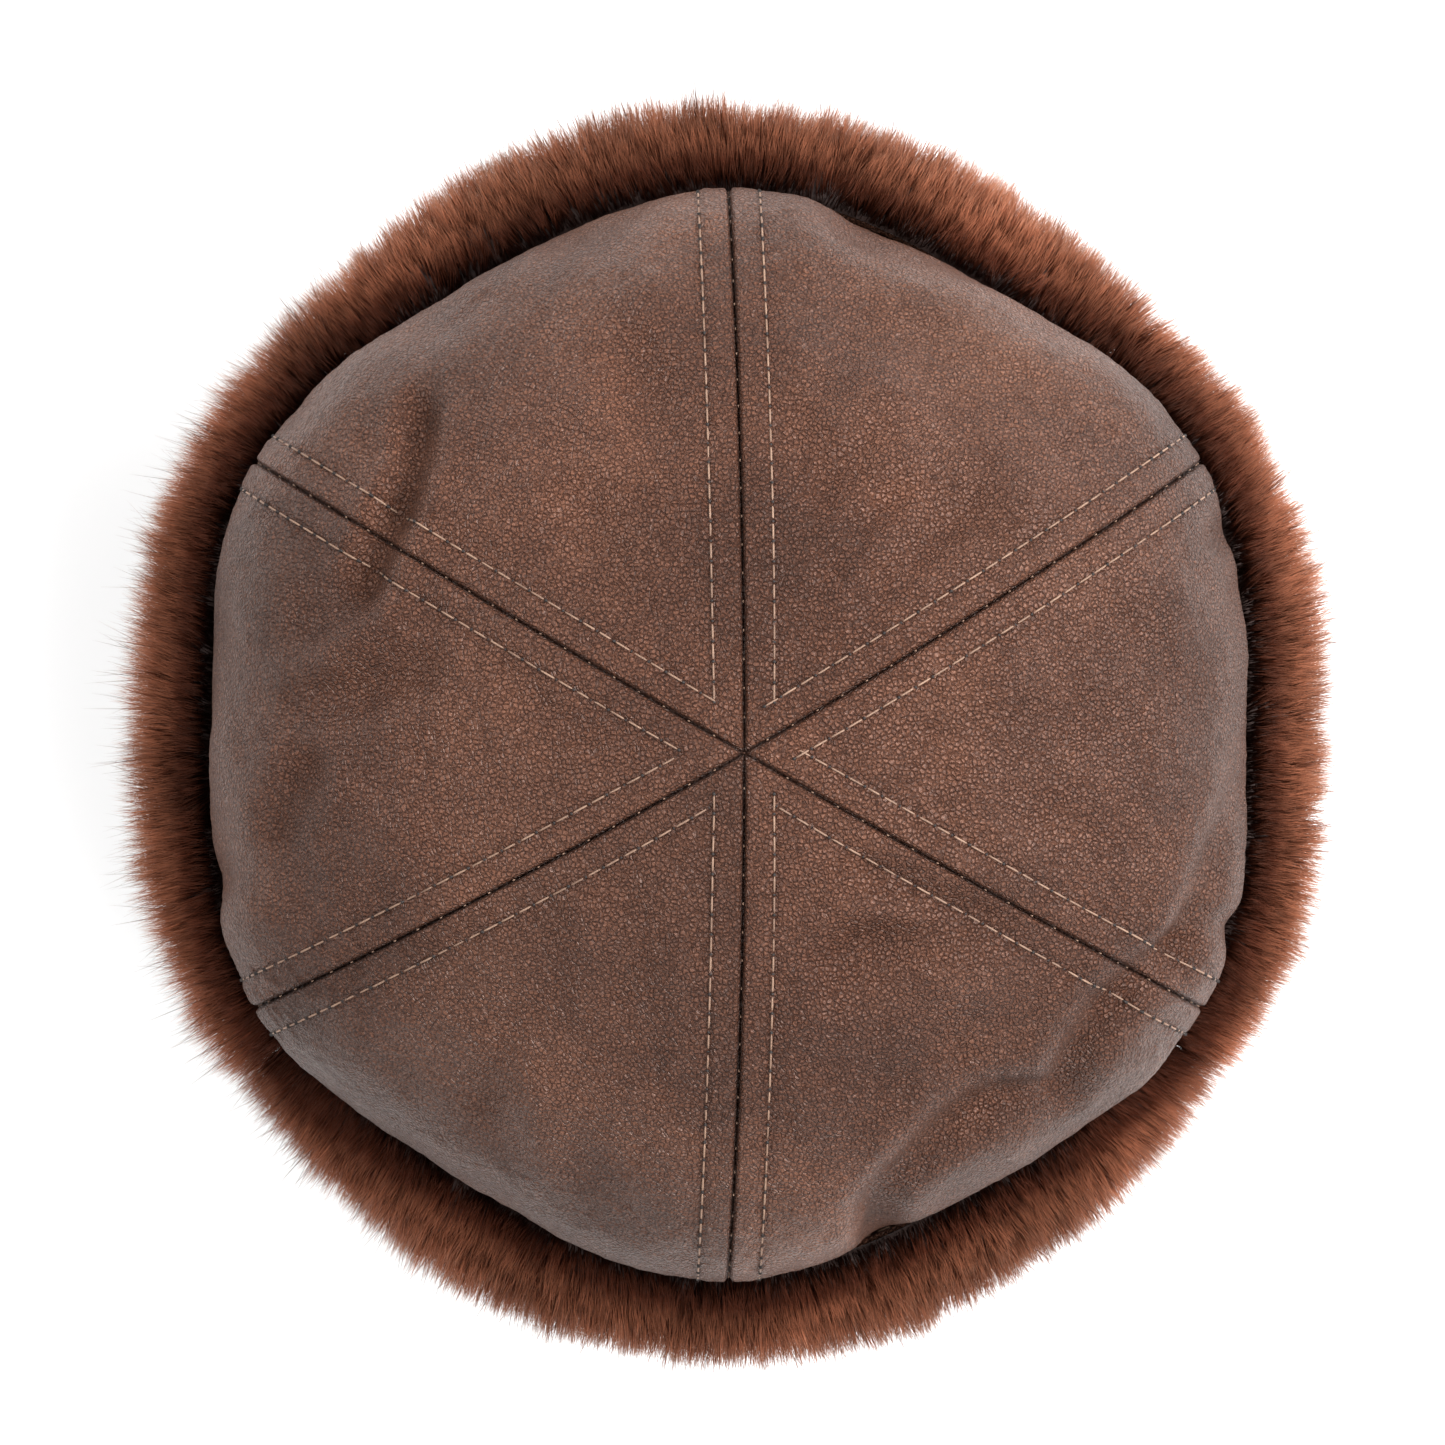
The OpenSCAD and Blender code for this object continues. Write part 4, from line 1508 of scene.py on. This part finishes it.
        long = (1.06 - 0.34 * rng.random(count) ** 1.6) * clump_long[number]
        long = np.where(guard, long * rng.uniform(1.2, 1.5, count), long)
        wander = np.stack([q * arc_scale, 0 * q, 0 * q], -1)
        long = long * (1.0 + 0.07 * ripple(wander, 36 * MM, self.seed + 8))
        root, turn, span = growth(q, w, rng.normal(0.0, 0.24, (count, 2)) + 0.5 * clump_lean[number], long)
        root_c, turn_c, span_c = growth(qc, wc, clump_lean, clump_long)
        tip_c = (root_c + turn_c * span_c[:, None])[number]
        own = root + turn * span[:, None]
        pull = np.where(guard, 0.15, clump_pull[number] * rng.uniform(0.6, 1.15, count))
        tip = mix(own, tip_c, pull[:, None])
        bend = mix(root, tip, 0.52) + turn * (0.10 * span)[:, None] + rng.normal(0, 0.25 * MM, (count, 3))
        self.clear_of_crown(bend)
        self.clear_of_crown(tip)
        tone = 0.50 + 0.07 * clump_tone[number] + rng.normal(0, 0.13, count)
        tone = tone + 0.14 * ripple(root, 40 * MM, self.seed + 7)
        # Painted shade: tips that lie near the crown's side stay dark, for the shade under the crown's overhang, and
        # light grows to the pile's outer edge.
        beyond = (np.hypot(tip[:, 0], tip[:, 1]) - SHAPE.wide(q)) / (21 * MM)
        light = mix(0.22, 0.98, smooth((beyond - 0.12) / 0.72))
        tone = np.clip(np.where(guard, rng.uniform(0.0, 0.25, count), tone), 0.01, 0.99)
        radius = self.root_radius * rng.uniform(0.75, 1.2, count) * np.where(guard, 0.60, 1.0)
        return self.spikes(root, bend, tip, radius, tone, light, curved, rng)

    def clear_of_crown(self, points: Array) -> None:
        """Push points out so that none lies within 0.8 mm of the crown's swelling side, in place.

        Args:
            points: Points, changed in place.
        """
        q = np.arctan2(points[:, 1], points[:, 0])
        r = np.hypot(points[:, 0], points[:, 1])
        a = np.arcsin(np.clip((points[:, 2] - SHAPE.widest_z) / (SHAPE.apex_z - SHAPE.widest_z), 0.0, 0.98))
        wall = np.where(points[:, 2] < SHAPE.widest_z, SHAPE.side(q, points[:, 2]), SHAPE.wide(q) * np.cos(a))
        grow = np.maximum(wall + 0.8 * MM - r, 0.0) / np.maximum(r, MM)
        points[:, :2] *= (1.0 + grow)[:, None]

    def spikes(
        self, root: Array, bend: Array, tip: Array, radius: Array, tone: Array, light: Array, curved: Array,
        rng: np.random.Generator,
    ) -> list[Piece]:
        """Turn strands into meshes: a curved one has a ring at its bend, and a straight one hasn't.

        Args:
            root: Where each strand starts.
            bend: Where it bends.
            tip: Where it ends.
            radius: Its radius at the root.
            tone: Its tone, which goes into the map's U.
            light: How light its tip is, which goes into the map's V there: painted shade, darker for tips near the
                crown's side.
            curved: Which strands bend.
            rng: Source of each strand's turn about itself.

        Returns:
            The pieces.
        """
        axis = unit(tip - root)
        side = unit(np.cross(axis, np.array([0.31, -0.52, 0.79])))
        other = np.cross(axis, side)
        turn = rng.uniform(0, TAU, len(root))[:, None] + np.arange(3)[None, :] * TAU / 3
        spoke = side[:, None] * np.cos(turn)[..., None] + other[:, None] * np.sin(turn)[..., None]
        low = root[:, None] + spoke * radius[:, None, None]
        mid = bend[:, None] + spoke * (radius * 0.82)[:, None, None]
        bent = np.concatenate([low, mid, tip[:, None]], 1)
        straight = np.concatenate([low, tip[:, None]], 1)
        quads = np.array([[0, 1, 4, 3], [1, 2, 5, 4], [2, 0, 3, 5]])
        bent_tris = np.array([[3, 4, 6], [4, 5, 6], [5, 3, 6], [2, 1, 0]])
        straight_tris = np.array([[0, 1, 3], [1, 2, 3], [2, 0, 3], [2, 1, 0]])
        bent_v, straight_v = np.array([0.02, 0.02, 0.02, 0.5, 0.5, 0.5, 1.0]), np.array([0.02, 0.02, 0.02, 1.0])
        made = []
        for part, rows in enumerate(np.array_split(np.arange(len(root)), self.pieces)):
            a, b = rows[curved[rows]], rows[~curved[rows]]
            first = (np.arange(len(a)) * 7)[:, None, None]
            after = len(a) * 7 + (np.arange(len(b)) * 4)[:, None, None]
            places = np.concatenate([bent[a].reshape(-1, 3), straight[b].reshape(-1, 3)])
            across = np.concatenate([np.repeat(tone[a], 7), np.repeat(tone[b], 4)])
            along = np.concatenate([np.outer(light[a], bent_v).ravel(), np.outer(light[b], straight_v).ravel()])
            tris = np.concatenate([(first + bent_tris).reshape(-1, 3), (after + straight_tris).reshape(-1, 3)])
            piece = make_mesh(
                f"{self.name}_pile_{'abcd'[part]}", places, (first + quads).reshape(-1, 4), tris,
                np.stack([across, along], -1),
            )
            made.append(self.settle(piece, Finish.PILE))
        return made

    def build(self) -> None:
        """Build the flap's pieces."""
        self.leather()
        self.hinge_strip()
        self.stitching()
        self.backing()
        self.strands()


def flaps() -> list[Flap]:
    """The four flaps, with the sizes of their CAD leathers.

    Returns:
        The four flaps.
    """
    sizes = (("visor", (215.0, 325.0), 1.2, 101), ("left_ear", (-35.0, 45.0), 0.2, 202),
             ("neck", (45.0, 135.0), 0.2, 303), ("right_ear", (135.0, 215.0), 0.2, 404))
    made = []
    for name, sector, under, seed in sizes:
        height = float(node_box(f"{name}_leather")[1][2])
        made.append(Flap(name, PileShape(sector, height, under * MM), seed))
    return made


# ---- Hardware ------------------------------------------------------------------------------------------------


@dataclass
class Hardware:
    """The CAD pieces that show as they are: the ear flaps' snaps and the visor's board."""

    sides: tuple[str, str] = ("left", "right")
    parts: tuple[str, ...] = ("stud", "washer", "socket", "cap")

    def build(self) -> None:
        """Give each carried piece its finish."""
        for side in self.sides:
            for part in self.parts:
                self.dress(f"{side}_snap_{part}", Finish.BRASS)
        self.dress("visor_board", Finish.BOARD)

    def dress(self, node: str, finish: Finish) -> None:
        """Dress one carried node.

        Args:
            node: The CAD node.
            finish: Its finish.
        """
        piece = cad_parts[node]
        WARDROBE.dress(piece, finish)
        LOG.info("%s keeps its shape", node)


# ---- Studio --------------------------------------------------------------------------------------------------


@dataclass
class Studio:
    """A pale floor set low enough for the flaps to hang, soft light from the wearer's left, a long lens above."""

    camera_at: tuple[float, float, float] = (-1.2 * MM, 2.4 * MM, 2.045)
    lens: float = 246.6
    floor: float = 6.0
    floor_z: float = -82.0 * MM

    def light(self, name: str, at: tuple[float, float, float], size: float, watts: float,
              colour: tuple[float, float, float] = (1.0, 1.0, 1.0)) -> None:
        """Add one square soft light aimed at the hat.

        Args:
            name: The lamp's name.
            at: Where it hangs, in metres.
            size: Side of the square, in metres.
            watts: Its power.
            colour: Its colour.
        """
        data = bpy.data.lights.new(name, "AREA")
        data.size, data.energy, data.color = size, watts, colour
        lamp = bpy.data.objects.new(name, data)
        bpy.context.scene.collection.objects.link(lamp)
        lamp.location = at
        aim = np.array([0.0, 0.0, 0.08]) - np.array(at)
        yaw = math.atan2(aim[1], aim[0]) - math.pi / 2
        pitch = math.atan2(math.hypot(aim[0], aim[1]), -aim[2])
        lamp.rotation_euler = (pitch, 0.0, yaw)

    def build(self) -> None:
        """Lay the floor, hang the lights and set up the camera."""
        h = self.floor / 2
        corners = np.array([[x, y, self.floor_z] for x, y in ((-h, -h), (h, -h), (h, h), (-h, h))])
        floor = make_mesh("studio_floor", corners, np.array([[0, 1, 2, 3]]))
        shader = Shader("studio_paper")
        tone = shader.noise(3.0)
        floor.data.materials.append(
            shader.finish(Base_Color=shader.blend(tone, (0.93, 0.93, 0.93), (0.95, 0.95, 0.95)), Roughness=0.95)
        )
        self.light("key", (1.30, 0.38, 1.10), 0.8, 50.0)
        self.light("fill", (-1.15, 0.90, 1.0), 1.1, 18.0)
        self.light("front", (0.3, -1.4, 1.3), 1.2, 4.0)
        self.light("above", (0.40, -0.30, 1.75), 0.45, 16.0)
        world = bpy.data.worlds.new("studio_air")
        world.use_nodes = True
        air = world.node_tree.nodes["Background"]
        air.inputs[0].default_value = (1.0, 1.0, 1.0, 1.0)
        air.inputs[1].default_value = 0.84
        bpy.context.scene.world = world
        data = bpy.data.cameras.new("camera")
        data.lens, data.clip_start, data.clip_end = self.lens, 0.05, 20.0
        camera = bpy.data.objects.new("camera", data)
        bpy.context.scene.collection.objects.link(camera)
        camera.location = self.camera_at
        bpy.context.scene.camera = camera
        bpy.context.scene.view_settings.view_transform = "Standard"


def main() -> None:
    """Build the hat and the studio."""
    logging.basicConfig(level=logging.INFO, format="%(message)s")
    Crown().build()
    for flap in flaps():
        flap.build()
    Hardware().build()
    Studio().build()


if __name__ == "__main__":
    main()
